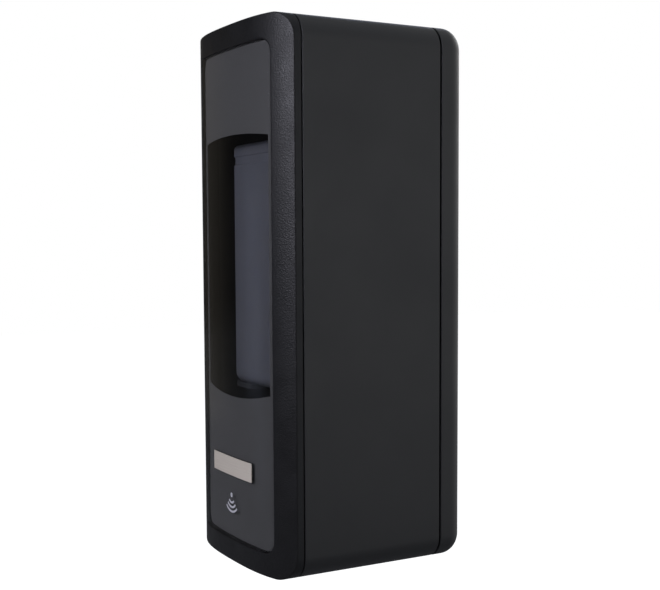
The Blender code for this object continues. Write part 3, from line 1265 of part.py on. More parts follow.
def make_motor(steel):
    """The small motor: a can with two flats, an end cap, two tags and a nose in the lid."""
    end = MOTOR_REAR - MOTOR_LENGTH
    motor = part(plate("motor", [flatted(MOTOR_RADIUS, MOTOR_FLAT, MOTOR_PLACE)], end, MOTOR_REAR), steel)
    join(motor, rod("nose", "Y", MOTOR_NOSE_RADIUS, MOTOR_REAR - EMBED, MOTOR_REAR + MOTOR_NOSE_LENGTH,
                    MOTOR_PLACE))
    cap = flatted(MOTOR_RADIUS - MOTOR_CAP_INSET, MOTOR_FLAT - MOTOR_CAP_INSET, MOTOR_PLACE)
    join(motor, plate("end_cap", [cap], end - MOTOR_CAP_LENGTH, end + EMBED))
    for side in (-1, 1):
        x = MOTOR_PLACE[0] + side * MOTOR_TAG_X
        join(motor, block("tag", x - MOTOR_TAG_WIDTH / 2, x + MOTOR_TAG_WIDTH / 2,
                          end - MOTOR_CAP_LENGTH - MOTOR_TAG_LENGTH, end - MOTOR_CAP_LENGTH + EMBED,
                          MOTOR_PLACE[1] - MOTOR_TAG_HEIGHT / 2, MOTOR_PLACE[1] + MOTOR_TAG_HEIGHT / 2))
    cut(motor, rod("shaft_room", "Y", MOTOR_SHAFT_RADIUS + GAP, MOTOR_REAR - MOTOR_SHAFT_DEPTH,
                   MOTOR_REAR + MOTOR_NOSE_LENGTH + OVERRUN, MOTOR_PLACE, ROUND_STEPS // 2))
    return motor


def make_sensor(plastic, smoked, clear, dark):
    """The hand sensor that looks down through the outlet: housing, window and two eyes."""
    top = SENSOR_BOTTOM + SENSOR_HEIGHT
    rear = LID_FACE - GAP
    front = rear - SENSOR_DEPTH
    middle_y = (rear + front) / 2
    half = SENSOR_HALF_WIDTH
    housing = part(block("sensor_housing", -half, half, front, rear, SENSOR_BOTTOM, top), plastic)
    recess = SENSOR_WINDOW_INSET
    cut(housing, block("sensor_room", -half + SENSOR_WALL, half - SENSOR_WALL, front + SENSOR_WALL,
                       rear - SENSOR_WALL, SENSOR_BOTTOM - OVERRUN, top - SENSOR_WALL))
    part(block("sensor_window", -half + SENSOR_WALL + GAP, half - SENSOR_WALL - GAP,
               front + SENSOR_WALL + GAP, rear - SENSOR_WALL - GAP,
               SENSOR_BOTTOM + GAP, SENSOR_BOTTOM + GAP + SENSOR_WINDOW_THICKNESS), smoked)
    eye_low = SENSOR_BOTTOM + recess
    for side, name, finish in ((-1, "ir_emitter", clear), (1, "ir_receiver", dark)):
        profile = [(0, eye_low + SENSOR_EYE_LENGTH), (SENSOR_EYE_RADIUS, eye_low + SENSOR_EYE_LENGTH)]
        dome = arc((0, eye_low + SENSOR_EYE_RADIUS), SENSOR_EYE_RADIUS, 0, -math.pi / 2)
        profile += dome[:-1] + [(0, eye_low)]
        part(turned(name, profile, (side * SENSOR_EYE_X, middle_y, 0), "Z", ROUND_STEPS // 2), finish)


# Batteries, circuit board and switches

def make_batteries(plastic, steel, wrap):
    """The battery box on the frame, four cells side by side, two contacts and the sliding door."""
    rear = FRAME_FACE - GAP
    floor = rear - CELL_BOX_WALL
    half = CELL_COUNT * CELL_PITCH / 2 + CELL_CLEARANCE
    cell_y = floor - CELL_CLEARANCE - CELL_RADIUS
    rim = cell_y - CELL_RADIUS - CELL_CLEARANCE
    door_rear = rim - GAP
    door_face = door_rear - CELL_DOOR_THICKNESS
    lip_rear = door_face - GAP
    lip_face = lip_rear - CELL_BOX_LIP
    outer = half + CELL_BOX_WALL
    low = CELLS_BOTTOM - CONTACT_BUMP_HEIGHT - CONTACT_THICKNESS - 3 * GAP
    cell_top = CELLS_BOTTOM + CELL_LENGTH + CELL_BUTTON_HEIGHT
    high = cell_top + CONTACT_BUMP_HEIGHT + CONTACT_THICKNESS + 3 * GAP
    channel = [(-outer, rear), (-outer, lip_face), (-half + CELL_BOX_LIP, lip_face),
               (-half + CELL_BOX_LIP, lip_rear), (-half, lip_rear), (-half, floor),
               (half, floor), (half, lip_rear), (half - CELL_BOX_LIP, lip_rear),
               (half - CELL_BOX_LIP, lip_face), (outer, lip_face), (outer, rear)]
    box = part(plate("battery_box", [channel], low - CELL_BOX_WALL, high + CELL_BOX_WALL, "XY"), plastic)
    for wall_low in (low - CELL_BOX_WALL, high):
        join(box, block("end_wall", -half - EMBED, half + EMBED, rim, floor + EMBED,
                        wall_low, wall_low + CELL_BOX_WALL))
    for number in range(CELL_COUNT):
        x = (number - (CELL_COUNT - 1) / 2) * CELL_PITCH
        top = CELLS_BOTTOM + CELL_LENGTH
        part(turned("battery_%d" % (number + 1), [(0, cell_top), (CELL_BUTTON_RADIUS, cell_top),
                                                  (CELL_BUTTON_RADIUS, top), (CELL_RADIUS, top),
                                                  (CELL_RADIUS, CELLS_BOTTOM), (0, CELLS_BOTTOM)],
                    (x, cell_y, 0)), wrap)
    for name, start, direction in (("battery_contact_low", low + GAP, 1), ("battery_contact_top", high - GAP, -1)):
        ends = sorted((start, start + direction * CONTACT_THICKNESS))
        strip = part(block(name, -half + GAP, half - GAP, cell_y - CONTACT_WIDTH / 2,
                           cell_y + CONTACT_WIDTH / 2, ends[0], ends[1]), steel)
        for number in range(CELL_COUNT):
            x = (number - (CELL_COUNT - 1) / 2) * CELL_PITCH
            bump = sorted((start + direction * EMBED / 2, start + direction * (CONTACT_THICKNESS + CONTACT_BUMP_HEIGHT)))
            join(strip, rod("bump", "Z", CONTACT_BUMP_RADIUS, bump[0], bump[1], (x, cell_y), ROUND_STEPS // 2))
    door = part(block("battery_door", -half + GAP, half - GAP, door_face, door_rear,
                      low - CELL_BOX_WALL, high + CELL_BOX_WALL), plastic)
    for grip in range(CELL_DOOR_GRIPS):
        z = high - (grip + 1) * CELL_DOOR_GRIP_PITCH
        join(door, block("grip", -CELL_DOOR_GRIP_WIDTH / 2, CELL_DOOR_GRIP_WIDTH / 2,
                         door_face - CELL_DOOR_GRIP_HEIGHT, door_face + EMBED,
                         z - CELL_DOOR_GRIP_HEIGHT / 2, z + CELL_DOOR_GRIP_HEIGHT / 2))
    return box


def make_board(board_green, plastic, pale, red_light):
    """The circuit board on its standoffs, its cover, two slide switches and a lamp."""
    half = BOARD_WIDTH / 2
    board = part(block("circuit_board", -half, half, BOARD_FACE, BOARD_REAR,
                       BOARD_Z - BOARD_HEIGHT / 2, BOARD_Z + BOARD_HEIGHT / 2), board_green)
    join(board, block("chip", -CHIP_SIZE / 2, CHIP_SIZE / 2, BOARD_FACE - CHIP_HEIGHT, BOARD_FACE + EMBED,
                      BOARD_Z - CHIP_SIZE / 2, BOARD_Z + CHIP_SIZE / 2))
    switch_face = BOARD_FACE - SWITCH_BODY_DEPTH
    cover_face = FRAME_FACE - GAP - BOARD_COVER_DEPTH
    for side, name, travel in ((-1, "power_switch", POWER_TRAVEL), (1, "dose_switch", DOSE_TRAVEL)):
        x = side * SWITCH_X
        join(board, block("switch_body", x - SWITCH_BODY_WIDTH / 2, x + SWITCH_BODY_WIDTH / 2, switch_face,
                          BOARD_FACE + EMBED, SWITCH_Z - SWITCH_BODY_HEIGHT / 2, SWITCH_Z + SWITCH_BODY_HEIGHT / 2))
        cut(board, block("switch_slot", x - SWITCH_SLOT_WIDTH / 2, x + SWITCH_SLOT_WIDTH / 2,
                         switch_face - OVERRUN, switch_face + SWITCH_SLOT_DEPTH,
                         SWITCH_Z - SWITCH_SLOT_HEIGHT / 2, SWITCH_Z + SWITCH_SLOT_HEIGHT / 2))
        start = x - travel / 2
        part(block(name, start - KNOB_WIDTH / 2, start + KNOB_WIDTH / 2, cover_face - KNOB_PROUD,
                   switch_face + SWITCH_SLOT_DEPTH - GAP, SWITCH_Z - KNOB_HEIGHT / 2,
                   SWITCH_Z + KNOB_HEIGHT / 2), pale)
    outline = rounded(-BOARD_COVER_HALF_WIDTH, BOARD_COVER_HALF_WIDTH, BOARD_COVER_BOTTOM, BOARD_COVER_TOP,
                      BOARD_COVER_CORNER)
    cover = part(plate("board_cover", [outline], cover_face, FRAME_FACE - GAP), plastic)
    room = rounded(-BOARD_COVER_HALF_WIDTH + BOARD_COVER_WALL, BOARD_COVER_HALF_WIDTH - BOARD_COVER_WALL,
                   BOARD_COVER_BOTTOM + BOARD_COVER_WALL, BOARD_COVER_TOP - BOARD_COVER_WALL,
                   BOARD_COVER_CORNER - BOARD_COVER_WALL)
    cut(cover, plate("board_room", [room], cover_face + BOARD_COVER_WALL, FRAME_FACE + OVERRUN))
    for side in (-1, 1):
        x = side * SWITCH_X
        cut(cover, block("knob_slot", x - SWITCH_SLOT_WIDTH / 2, x + SWITCH_SLOT_WIDTH / 2,
                         cover_face - OVERRUN, cover_face + BOARD_COVER_WALL + OVERRUN,
                         SWITCH_Z - SWITCH_SLOT_HEIGHT / 2, SWITCH_Z + SWITCH_SLOT_HEIGHT / 2))
    cut(cover, rod("lamp_hole", "Y", LED_RADIUS + GAP, cover_face - OVERRUN,
                   cover_face + BOARD_COVER_WALL + OVERRUN, (0, LED_Z), ROUND_STEPS // 2))
    profile = [(0, BOARD_FACE - GAP - cover_face), (LED_RADIUS, BOARD_FACE - GAP - cover_face), (LED_RADIUS, 0)]
    profile += [(0, -LED_RADIUS)]
    part(turned("status_lamp", profile, (0, cover_face, LED_Z), "Y", ROUND_STEPS // 2), red_light)


# The whole dispenser

def build():
    clear_scene()
    black_abs = material("black_abs", (0.030, 0.031, 0.035), 0.55)
    grained_abs = material("grained_black_abs", (0.020, 0.020, 0.022), 0.60)
    smoked = material("smoked_acrylic", (0.035, 0.035, 0.037), 0.15)
    film = material("dark_print_film", (0.055, 0.055, 0.057), 0.50)
    satin_metal = material("satin_aluminium", (0.42, 0.38, 0.36), 0.35, 1.0)
    grey_abs = material("grey_abs", (0.16, 0.17, 0.18), 0.50)
    steel = material("bright_steel", (0.60, 0.60, 0.61), 0.30, 1.0)
    white_acetal = material("white_acetal", (0.75, 0.74, 0.70), 0.35)
    bottle_plastic = material("blue_grey_polyethylene", (0.10, 0.12, 0.17), 0.35)
    board_green = material("board_green", (0.02, 0.14, 0.06), 0.40)
    cell_wrap = material("battery_wrap", (0.05, 0.05, 0.06), 0.30)
    red_light = material("red_lens", (0.50, 0.02, 0.02), 0.20)
    clear = material("clear_resin", (0.55, 0.60, 0.70), 0.10)
    pump_white = material("white_polypropylene", (0.70, 0.71, 0.72), 0.40)

    make_back_plate(black_abs)
    make_hinge_pins(steel)
    make_inner_frame(grey_abs)
    make_screws(steel)
    make_bottle_shelf(grey_abs)
    make_gearbox(grey_abs)
    make_motor(steel)
    make_gears(white_acetal, steel)
    make_lifter(white_acetal)
    make_sensor(black_abs, smoked, clear, film)
    make_batteries(grey_abs, steel, cell_wrap)
    make_board(board_green, grey_abs, pump_white, red_light)

    bottle = make_bottle(bottle_plastic)
    make_collar(pump_white)
    make_pump(pump_white, steel)

    shell = make_cover_shell(black_abs)
    bezel = make_front_bezel(grained_abs)
    panel = make_front_panel(smoked)
    badge = make_name_plate(satin_metal)
    mask = make_panel_mask(film)
    barrel, nut, lock_axis = make_lock(steel, grey_abs)
    hang(pivot("cover_hinge_axis", (0, HINGE_Y, HINGE_Z)), shell, bezel, panel, badge, mask, barrel, nut,
         lock_axis)


build()
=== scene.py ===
# %% [markdown]
# # A touch-free soap dispenser
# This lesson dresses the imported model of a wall-mounted soap dispenser: its moulded
# black case, the smoked front with a window on the refill, and the mechanism inside.
# The frame holds every solid at its real place, in metres, so nothing is fitted by eye.

# %% Load the frame
import math

import bmesh
import bpy
import numpy as np
from mathutils import Matrix, Vector


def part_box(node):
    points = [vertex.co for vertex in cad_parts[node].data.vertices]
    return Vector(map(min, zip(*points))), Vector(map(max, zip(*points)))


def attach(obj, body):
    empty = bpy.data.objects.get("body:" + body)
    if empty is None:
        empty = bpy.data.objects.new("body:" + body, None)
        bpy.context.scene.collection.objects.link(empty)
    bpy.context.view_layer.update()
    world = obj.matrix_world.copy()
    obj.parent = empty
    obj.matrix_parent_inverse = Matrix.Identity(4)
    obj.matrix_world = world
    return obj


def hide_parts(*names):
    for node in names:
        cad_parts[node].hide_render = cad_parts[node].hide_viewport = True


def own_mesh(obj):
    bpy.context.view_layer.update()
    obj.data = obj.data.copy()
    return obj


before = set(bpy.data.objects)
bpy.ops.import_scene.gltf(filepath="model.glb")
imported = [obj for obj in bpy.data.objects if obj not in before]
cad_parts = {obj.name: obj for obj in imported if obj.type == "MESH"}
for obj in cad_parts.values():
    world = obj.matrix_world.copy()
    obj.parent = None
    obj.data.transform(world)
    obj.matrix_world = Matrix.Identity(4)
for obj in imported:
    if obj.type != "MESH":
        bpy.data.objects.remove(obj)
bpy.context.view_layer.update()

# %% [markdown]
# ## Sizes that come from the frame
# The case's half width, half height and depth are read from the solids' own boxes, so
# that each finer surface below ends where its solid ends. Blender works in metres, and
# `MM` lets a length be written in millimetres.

MM = 0.001
boxes = {node: np.array(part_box(node)) for node in ("cover_shell", "front_bezel", "back_plate")}
HALF_WIDTH, HALF_HEIGHT = (float(boxes["cover_shell"][1, axis]) for axis in (0, 2))
DEPTH = -float(boxes["front_bezel"][0, 1])
print("half width, half height and depth in mm:", HALF_WIDTH / MM, HALF_HEIGHT / MM, DEPTH / MM)
for node, (low, high) in boxes.items():
    print(node, "size in mm:", np.round((high - low) / MM, 2).tolist())

# %% [markdown]
# ## The camera
# The photograph was taken from the dispenser's right, a little above its middle. A
# camera could be placed by eye, but the outline's corners fix it: its angles, distance
# and focal length were solved from the photograph and are written here as real values.
# The picture is a crop, so the optical axis isn't at its centre, which the shift repeats.

# %% Place the camera
IMAGE_WIDTH = 660
IMAGE_HEIGHT = 590
SENSOR_MM = 36
CAMERA_AZIMUTH = math.radians(61.02)
CAMERA_ELEVATION = math.radians(4.271)
CAMERA_ROLL = math.radians(-0.327)
CAMERA_OFFSET = Vector((0.05570, 0.01906, 0.67196))
FOCAL_PIXELS = 1136.8
AXIS_PIXEL = (313.3, 323.9)
NEAREST_SEEN = 0.01


def toward(azimuth, elevation):
    """The unit vector from the object to a viewer: (sin a cos e, -cos a cos e, sin e)."""
    return Vector((math.sin(azimuth) * math.cos(elevation),
                   -math.cos(azimuth) * math.cos(elevation), math.sin(elevation)))


def camera_axes():
    """Right, up and forward as unit vectors: a turn by azimuth, a tilt, then a roll."""
    forward = -toward(CAMERA_AZIMUTH, CAMERA_ELEVATION)
    right = Vector((math.cos(CAMERA_AZIMUTH), math.sin(CAMERA_AZIMUTH), 0))
    up = right.cross(forward)
    cos_roll, sin_roll = math.cos(CAMERA_ROLL), math.sin(CAMERA_ROLL)
    return right * cos_roll + up * sin_roll, up * cos_roll - right * sin_roll, forward


def link(name, data):
    """A new object that shows some data, put into the scene."""
    made = bpy.data.objects.new(name, data)
    bpy.context.scene.collection.objects.link(made)
    return made


right, up, forward = camera_axes()
turn = Matrix((right, up, -forward)).transposed()
place = -(right * CAMERA_OFFSET.x + up * CAMERA_OFFSET.y + forward * CAMERA_OFFSET.z)
lens_data = bpy.data.cameras.new("photo_camera")
lens_data.sensor_width = SENSOR_MM
lens_data.lens = FOCAL_PIXELS * SENSOR_MM / IMAGE_WIDTH
lens_data.shift_x = (IMAGE_WIDTH / 2 - AXIS_PIXEL[0]) / IMAGE_WIDTH
lens_data.shift_y = (AXIS_PIXEL[1] - IMAGE_HEIGHT / 2) / IMAGE_WIDTH
lens_data.clip_start = NEAREST_SEEN
camera = link("photo_camera", lens_data)
camera.matrix_world = Matrix.Translation(place) @ turn.to_4x4()
bpy.context.scene.camera = camera
print("lens in mm:", round(lens_data.lens, 2), "camera at", tuple(round(v, 3) for v in place))

# %% [markdown]
# ## Helpers for materials
# A Principled shader starts from the finish's common values. One function adds a node
# with its settings and links, so that a material reads as a short recipe.

# %% Colour and node helpers
SRGB_KNEE, SRGB_SLOPE, SRGB_OFFSET, SRGB_GAMMA = 0.04045, 12.92, 0.055, 2.4


def linear(hex_colour):
    """An sRGB hex colour as linear red, green, blue and 1: c/12.92 below 0.04045,
    and ((c + 0.055) / 1.055) to the power 2.4 above it."""
    parts = [int(hex_colour[i:i + 2], 16) / 255 for i in (1, 3, 5)]
    return tuple(c / SRGB_SLOPE if c <= SRGB_KNEE else ((c + SRGB_OFFSET) / (1 + SRGB_OFFSET)) ** SRGB_GAMMA
                 for c in parts) + (1.0,)


def add_node(tree, kind, settings=None, **inputs):
    """Add a shader node, set its properties, then set or link its inputs: `_0` is the
    input with that number, and any other word is the input of that name."""
    node = tree.nodes.new("ShaderNode" + kind)
    for name, value in (settings or {}).items():
        setattr(node, name, value)
    for name, value in inputs.items():
        socket = node.inputs[int(name[1:])] if name[0] == "_" else node.inputs[name.replace("_", " ")]
        if isinstance(value, bpy.types.NodeSocket):
            tree.links.new(value, socket)
        else:
            socket.default_value = value
    return node


print("a mid grey in linear light:", round(linear("#808080")[0], 3))

# %% [markdown]
# No real finish is even. A pattern can be painted as a picture, but a noise has no seams
# and no end, so it drives the tones, the roughness and the fine height of each surface.
# It is laid out in the object's own space, where its scale is one over a size in metres.

# %% Pattern helpers


def per_metre(size_mm):
    """A noise scale whose features repeat at about this many millimetres: 1000 / size."""
    return 1000 / size_mm


def noise(tree, space, size_mm, detail):
    """The factor of a noise with features of one size."""
    return add_node(tree, "TexNoise", Vector=space, Scale=per_metre(size_mm),
                    Detail=detail).outputs["Fac"]


def spread(tree, value, start, end, low, high):
    """A value's range from start to end, carried over to a range from low to high."""
    return add_node(tree, "MapRange", Value=value, From_Min=start, From_Max=end,
                    To_Min=low, To_Max=high).outputs["Result"]


def blend(tree, shader, factor, dark, light):
    """Mix two tones by a factor, dark (1 - f) + light f, into the base colour."""
    mix = add_node(tree, "Mix", {"data_type": "RGBA"}, _0=factor,
                   _6=linear(dark), _7=linear(light))
    tree.links.new(mix.outputs[2], shader.inputs["Base Color"])


def emboss(tree, shader, height, strength, depth_mm):
    """Tilt the shaded normal by a pattern that stands up this many millimetres."""
    bump = add_node(tree, "Bump", Strength=strength, Distance=depth_mm * MM, Height=height)
    tree.links.new(bump.outputs["Normal"], shader.inputs["Normal"])


print("noise scale for features of 5 mm:", per_metre(5))

# %% [markdown]
# The start sets what a finish is made of, and two helpers then wear it: patches rubbed
# smoother or left rougher, and the fine grain that a mould leaves.

# %% Material helpers


def start_material(name, colour, roughness, mottle=None, **values):
    """A Principled material with uniform values, and its tree, shader and object space.
    A mottle is two tones and a size in mm, as uneven pigment and handling give."""
    made = bpy.data.materials.new(name)
    made.use_nodes = True
    tree = made.node_tree
    shader = tree.nodes["Principled BSDF"]
    made.diffuse_color = linear(colour)
    for word, value in {"Base_Color": linear(colour), "Roughness": roughness, "IOR": 1.5, **values}.items():
        shader.inputs[word.replace("_", " ")].default_value = value
    space = add_node(tree, "TexCoord").outputs["Object"]
    if mottle:
        dark, light, size_mm = mottle
        blend(tree, shader, noise(tree, space, size_mm, 3.0), dark, light)
    return made, tree, shader, space


def vary_roughness(tree, space, shader, low, high, size_mm):
    """Vary the roughness over patches, as on a surface that hands have rubbed."""
    patches = spread(tree, noise(tree, space, size_mm, 4.0), 0.3, 0.7, low, high)
    tree.links.new(patches, shader.inputs["Roughness"])


def grain(tree, space, shader, size_mm, depth_mm, strength):
    """A fine bump: grains of one size in millimetres and the height that they stand up."""
    emboss(tree, shader, noise(tree, space, size_mm, 2.0), strength, depth_mm)


print("materials so far:", len(bpy.data.materials))

# %% [markdown]
# ## Moulded black ABS
# The case's sides are ABS moulded in a spark-eroded tool: a fine even matt grain of
# about 0.3 mm that greys the black and spreads every reflection wide. The grain is
# finer than a pixel of the render, so it is drawn at 0.45 mm.

# %% Material of the black case
side_abs, tree, shader, space = start_material("ABS_fine_spark_texture", "#1b1c1f", 0.52, ("#191a1d", "#1e1f22", 60))
vary_roughness(tree, space, shader, 0.49, 0.57, 40)
grain(tree, space, shader, 0.45, 0.02, 0.35)
print("made", side_abs.name)

# %% [markdown]
# The front frame has a coarser leather-like grain, which the light from the right
# picks out as small bright specks. A noise alone has no edges, so a Voronoi pattern of
# 0.85 mm cells gives the islands. The frame's narrow side strip has no grain and shows
# less of that light, so it is a material of its own. Its base is also painted lighter
# than the frame's face: painted light for the side light that these sideways faces catch.

# %% Materials of the front frame
bezel_abs, tree, shader, space = start_material("ABS_leather_grain", "#0b0b0d", 0.46, ("#0a0a0b", "#0e0e10", 30),
                                                Specular_IOR_Level=0.32)
cells = add_node(tree, "TexVoronoi", {"feature": "F1"}, Vector=space, Scale=per_metre(0.85))
grain_height = add_node(tree, "Math", {"operation": "ADD"}, _0=cells.outputs["Distance"],
                        _1=noise(tree, space, 0.5, 2.0))
emboss(tree, shader, grain_height.outputs[0], 0.9, 0.10)
vary_roughness(tree, space, shader, 0.40, 0.52, 12)
# The strip's lighter base colour is painted light for the side light on its sideways faces; its missing grain and
# lower specular are its own.
strip_abs_painted_light, tree, shader, space = start_material("ABS_smooth_edge_painted_light", "#191a1d", 0.50, ("#17181b", "#1b1c1f", 20),
                                                Specular_IOR_Level=0.25)
vary_roughness(tree, space, shader, 0.46, 0.54, 15)
print("made", bezel_abs.name, "and", strip_abs_painted_light.name)

# %% [markdown]
# ## Plastics inside
# The inner frame is grey ABS, the gears and the lifter are white acetal, and the pump is
# white polypropylene. Acetal is slightly milky, so a little light passes under its
# surface.

# %% Materials of the inner plastics
grey_abs, tree, shader, space = start_material("ABS_grey_moulding", "#5b5d60", 0.45, ("#56585b", "#606265", 25))
grain(tree, space, shader, 0.6, 0.02, 0.3)
acetal = start_material("acetal_white", "#d9d8d1", 0.32, ("#d3d2ca", "#dedcd6", 8), IOR=1.48,
                        Subsurface_Weight=0.15, Subsurface_Radius=(2 * MM, 2 * MM, 1.5 * MM))[0]
polypropylene, tree, shader, space = start_material("polypropylene_white", "#d2d4d6", 0.38,
                                                    ("#cccfd2", "#d8dadc", 10), IOR=1.49)
grain(tree, space, shader, 0.8, 0.02, 0.2)
print("materials so far:", len(bpy.data.materials))

# %% [markdown]
# ## Metal, board, cells and lenses
# Screws, pins, lock and motor are zinc-plated steel, a true metal: its colour is that of
# its reflection. The board's woven laminate is drawn as rows of bricks about 3 mm long,
# the cells wear a shrink sleeve with a thin clear coat, and lamp and sensor are cast resin.

# %% Materials of the small parts
steel, tree, shader, space = start_material("zinc_plated_steel", "#b9bbbd", 0.30, ("#aeb0b4", "#c2c3c4", 3),
                                            Metallic=1.0)
vary_roughness(tree, space, shader, 0.24, 0.38, 4)
laminate, tree, shader, space = start_material("circuit_laminate_green", "#16482c", 0.35)
brick = add_node(tree, "TexBrick", Vector=space, Scale=180.0, Color1=linear("#16482c"),
                 Color2=linear("#123d25"), Mortar=linear("#2d6a43"), Mortar_Size=0.03)
tree.links.new(brick.outputs["Color"], shader.inputs["Base Color"])
cell_sleeve = start_material("cell_shrink_sleeve", "#1d2024", 0.28, ("#1a1d21", "#22262b", 12), Coat_Weight=0.5)[0]
red_lens = start_material("red_lamp_lens", "#a01818", 0.12, ("#941414", "#aa1c1c", 2), IOR=1.57,
                          Transmission_Weight=0.5)[0]
clear_resin = start_material("epoxy_lens_clear", "#c8d2e0", 0.06, ("#c2cddd", "#d0d8e4", 2), IOR=1.53,
                             Transmission_Weight=0.8)[0]
dark_resin = start_material("epoxy_lens_dark", "#1a171c", 0.10, ("#171419", "#1e1a20", 2), IOR=1.53)[0]
print("materials so far:", len(bpy.data.materials))

# %% [markdown]
# ## Soft edges
# No moulded or turned edge is perfectly sharp: a small bevel gives it a line of light,
# and smooth shading up to an angle hides the facets of a round face.

# %% Shade a mesh and soften its edges
MERGE_DISTANCE = 1e-6
FLAT_ANGLE = math.radians(0.6)
SMOOTH_LIMIT = math.radians(33)


def clean(mesh, merge=False, flatten=False, outward=False):
    """Merge doubled points, join flat faces or turn normals outward, as asked, then shade
    smooth, with an edge kept sharp where its angle passes the limit."""
    work = bmesh.new()
    work.from_mesh(mesh)
    if merge:
        bmesh.ops.remove_doubles(work, verts=work.verts, dist=MERGE_DISTANCE)
    if flatten:
        bmesh.ops.dissolve_limit(work, angle_limit=FLAT_ANGLE, verts=work.verts, edges=work.edges)
    if outward:
        bmesh.ops.recalc_face_normals(work, faces=work.faces)
    for edge in work.edges:
        edge.smooth = edge.calc_face_angle(0.0) < SMOOTH_LIMIT
    for face in work.faces:
        face.smooth = True
    work.to_mesh(mesh)
    work.free()


def bevel(thing, width_mm, segments):
    """Round a piece's sharp edges with a live bevel of some width and steps."""
    step = thing.modifiers.new("eased_edges", "BEVEL")
    step.width = width_mm * MM
    step.segments = segments
    step.limit_method = "ANGLE"
    step.angle_limit = SMOOTH_LIMIT


print("edges stay sharp above", round(math.degrees(SMOOTH_LIMIT), 1), "degrees")

# %% [markdown]
# ## Carrying a solid over
# Most inner pieces keep their exact solid, as a merged copy with soft edges. The frame's
# own node is then left out of the picture.

# %% Carry CAD solids over


def carry(node, body, material, bevel_mm):
    """A merged copy of a node with eased edges, in the given material, on its body."""
    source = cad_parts[node]
    mesh = bpy.data.meshes.new(node + "_shown")
    points = np.empty(len(source.data.vertices) * 3)
    source.data.vertices.foreach_get("co", points)
    world = np.array(source.matrix_world)
    points = points.reshape(-1, 3) @ world[:3, :3].T + world[:3, 3]
    mesh.from_pydata(points.tolist(), [], [tuple(p.vertices) for p in source.data.polygons])
    clean(mesh, merge=True, flatten=True)
    shown = link(mesh.name, mesh)
    mesh.materials.append(material)
    if bevel_mm:
        bevel(shown, bevel_mm, 2)
    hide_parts(node)
    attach(shown, body)
    return shown


print("solids in the frame:", len(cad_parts))

# %% [markdown]
# ## The case's curves
# Two curves make the case: its front view is a rounded rectangle, with far rounder
# corners than the solid's, and its front bows forward by the solid's own curve:
# `y = -D + b q + t q^2` with `q = (x / half width)^2`.

# %% Curves of the case
FRONT_BOW = 2.8 * MM
EDGE_TURN = 8.0 * MM
CORNER = 13 * MM
LEAST_CORNER = 1 * MM
CORNER_STEPS = 14
SIDE_STEPS = 24
END_STEPS = 36
SKIN = 2.5 * MM
QUARTER = math.pi / 2


def front_y(x):
    """Depth of the front at x: -D + b q + t q^2, with q the square of x over half width."""
    q = (np.asarray(x) / HALF_WIDTH) ** 2
    return -DEPTH + FRONT_BOW * q + EDGE_TURN * q * q


def arc(centre, radius, turns):
    """Points of an arc: centre + radius (cos t, sin t)."""
    return np.stack([centre[0] + radius * np.cos(turns), centre[1] + radius * np.sin(turns)], 1)


def rounded_corners(half_x, low, high, radius, count):
    """Points of a rounded rectangle centred across X: four arcs, one for each corner,
    anticlockwise from the right side's high corner."""
    places = [(1, high - radius), (-1, high - radius), (-1, low + radius), (1, low + radius)]
    steps = np.linspace(0, QUARTER, count)
    return np.concatenate([arc((side * (half_x - radius), y), radius, QUARTER * k + steps)
                           for k, (side, y) in enumerate(places)])


print("front's depth at its middle and its edge in mm:", *(round(float(front_y(x)) / MM, 2) for x in (0, HALF_WIDTH)))

# %% [markdown]
# Each moulded piece of the case is a set of loops, one inside or behind the next, joined
# by quads. A loop has the same count of points in each piece, so any two can be joined.

# %% Outlines of the case


def loop(half_x, half_z, radius):
    """Points (x, z) of a rounded rectangle whose straight sides are divided, too."""
    bends = rounded_corners(half_x, -half_z, half_z, radius, CORNER_STEPS + 1).reshape(4, -1, 2)
    points = []
    for k, bend in enumerate(bends):
        count = END_STEPS if k in (0, 2) else SIDE_STEPS
        shares = np.linspace(0, 1, count + 1)[1:-1, None]
        points += [bend, bend[-1] + shares * (bends[(k + 1) % 4][0] - bend[-1])]
    return np.concatenate(points)


def case_loop(inset):
    """The case's outline drawn in by an inset, its corner radius less by the same."""
    return loop(HALF_WIDTH - inset, HALF_HEIGHT - inset, max(CORNER - inset, LEAST_CORNER))


def case_inset(x, z):
    """How far a place lies inside the case's outline: by the corner's circle, or by the side."""
    out_x, out_z = abs(x) - (HALF_WIDTH - CORNER), abs(z) - (HALF_HEIGHT - CORNER)
    if out_x > 0 and out_z > 0:
        return CORNER - math.hypot(out_x, out_z)
    return CORNER - max(out_x, out_z)


def rim(inset, depth):
    """The case's outline drawn in by an inset, at one flat depth y."""
    return np.insert(case_loop(inset), 1, depth, axis=1)


def behind(outline, inset):
    """Loop points that follow the curved front, moved back by an inset."""
    return np.stack([outline[:, 0], front_y(outline[:, 0]) + inset, outline[:, 1]], 1)


print("points in a case loop:", len(case_loop(0)))

# %% [markdown]
# ## From loops to surfaces
# A surface needs only its grid of points: quad (r, c) joins each point with its
# neighbours in the next column and the next row. Normals are made to point outward, and
# the finished piece rides on its body, so that it moves with the joint.

# %% Loft helpers


def grid_faces(rows, columns, wrap_rows, wrap_columns):
    """Quads of a grid of points, closed round in either direction."""
    numbers = np.arange(rows * columns).reshape(rows, columns)
    numbers = np.pad(numbers, ((0, int(wrap_rows)), (0, int(wrap_columns))), mode="wrap")
    corners = [numbers[:-1, :-1], numbers[:-1, 1:], numbers[1:, 1:], numbers[1:, :-1]]
    return np.stack(corners, -1).reshape(-1, 4)


def new_object(name, points, faces, material, body, nodes=()):
    """A mesh object at the origin, shaded smooth up to an angle, riding on a body."""
    mesh = bpy.data.meshes.new(name)
    mesh.from_pydata(np.asarray(points).tolist(), [], [list(map(int, f)) for f in faces])
    clean(mesh, merge=True, outward=True)
    made = link(name, mesh)
    mesh.materials.append(material)
    if nodes:
        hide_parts(*nodes)
    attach(made, body)
    return made


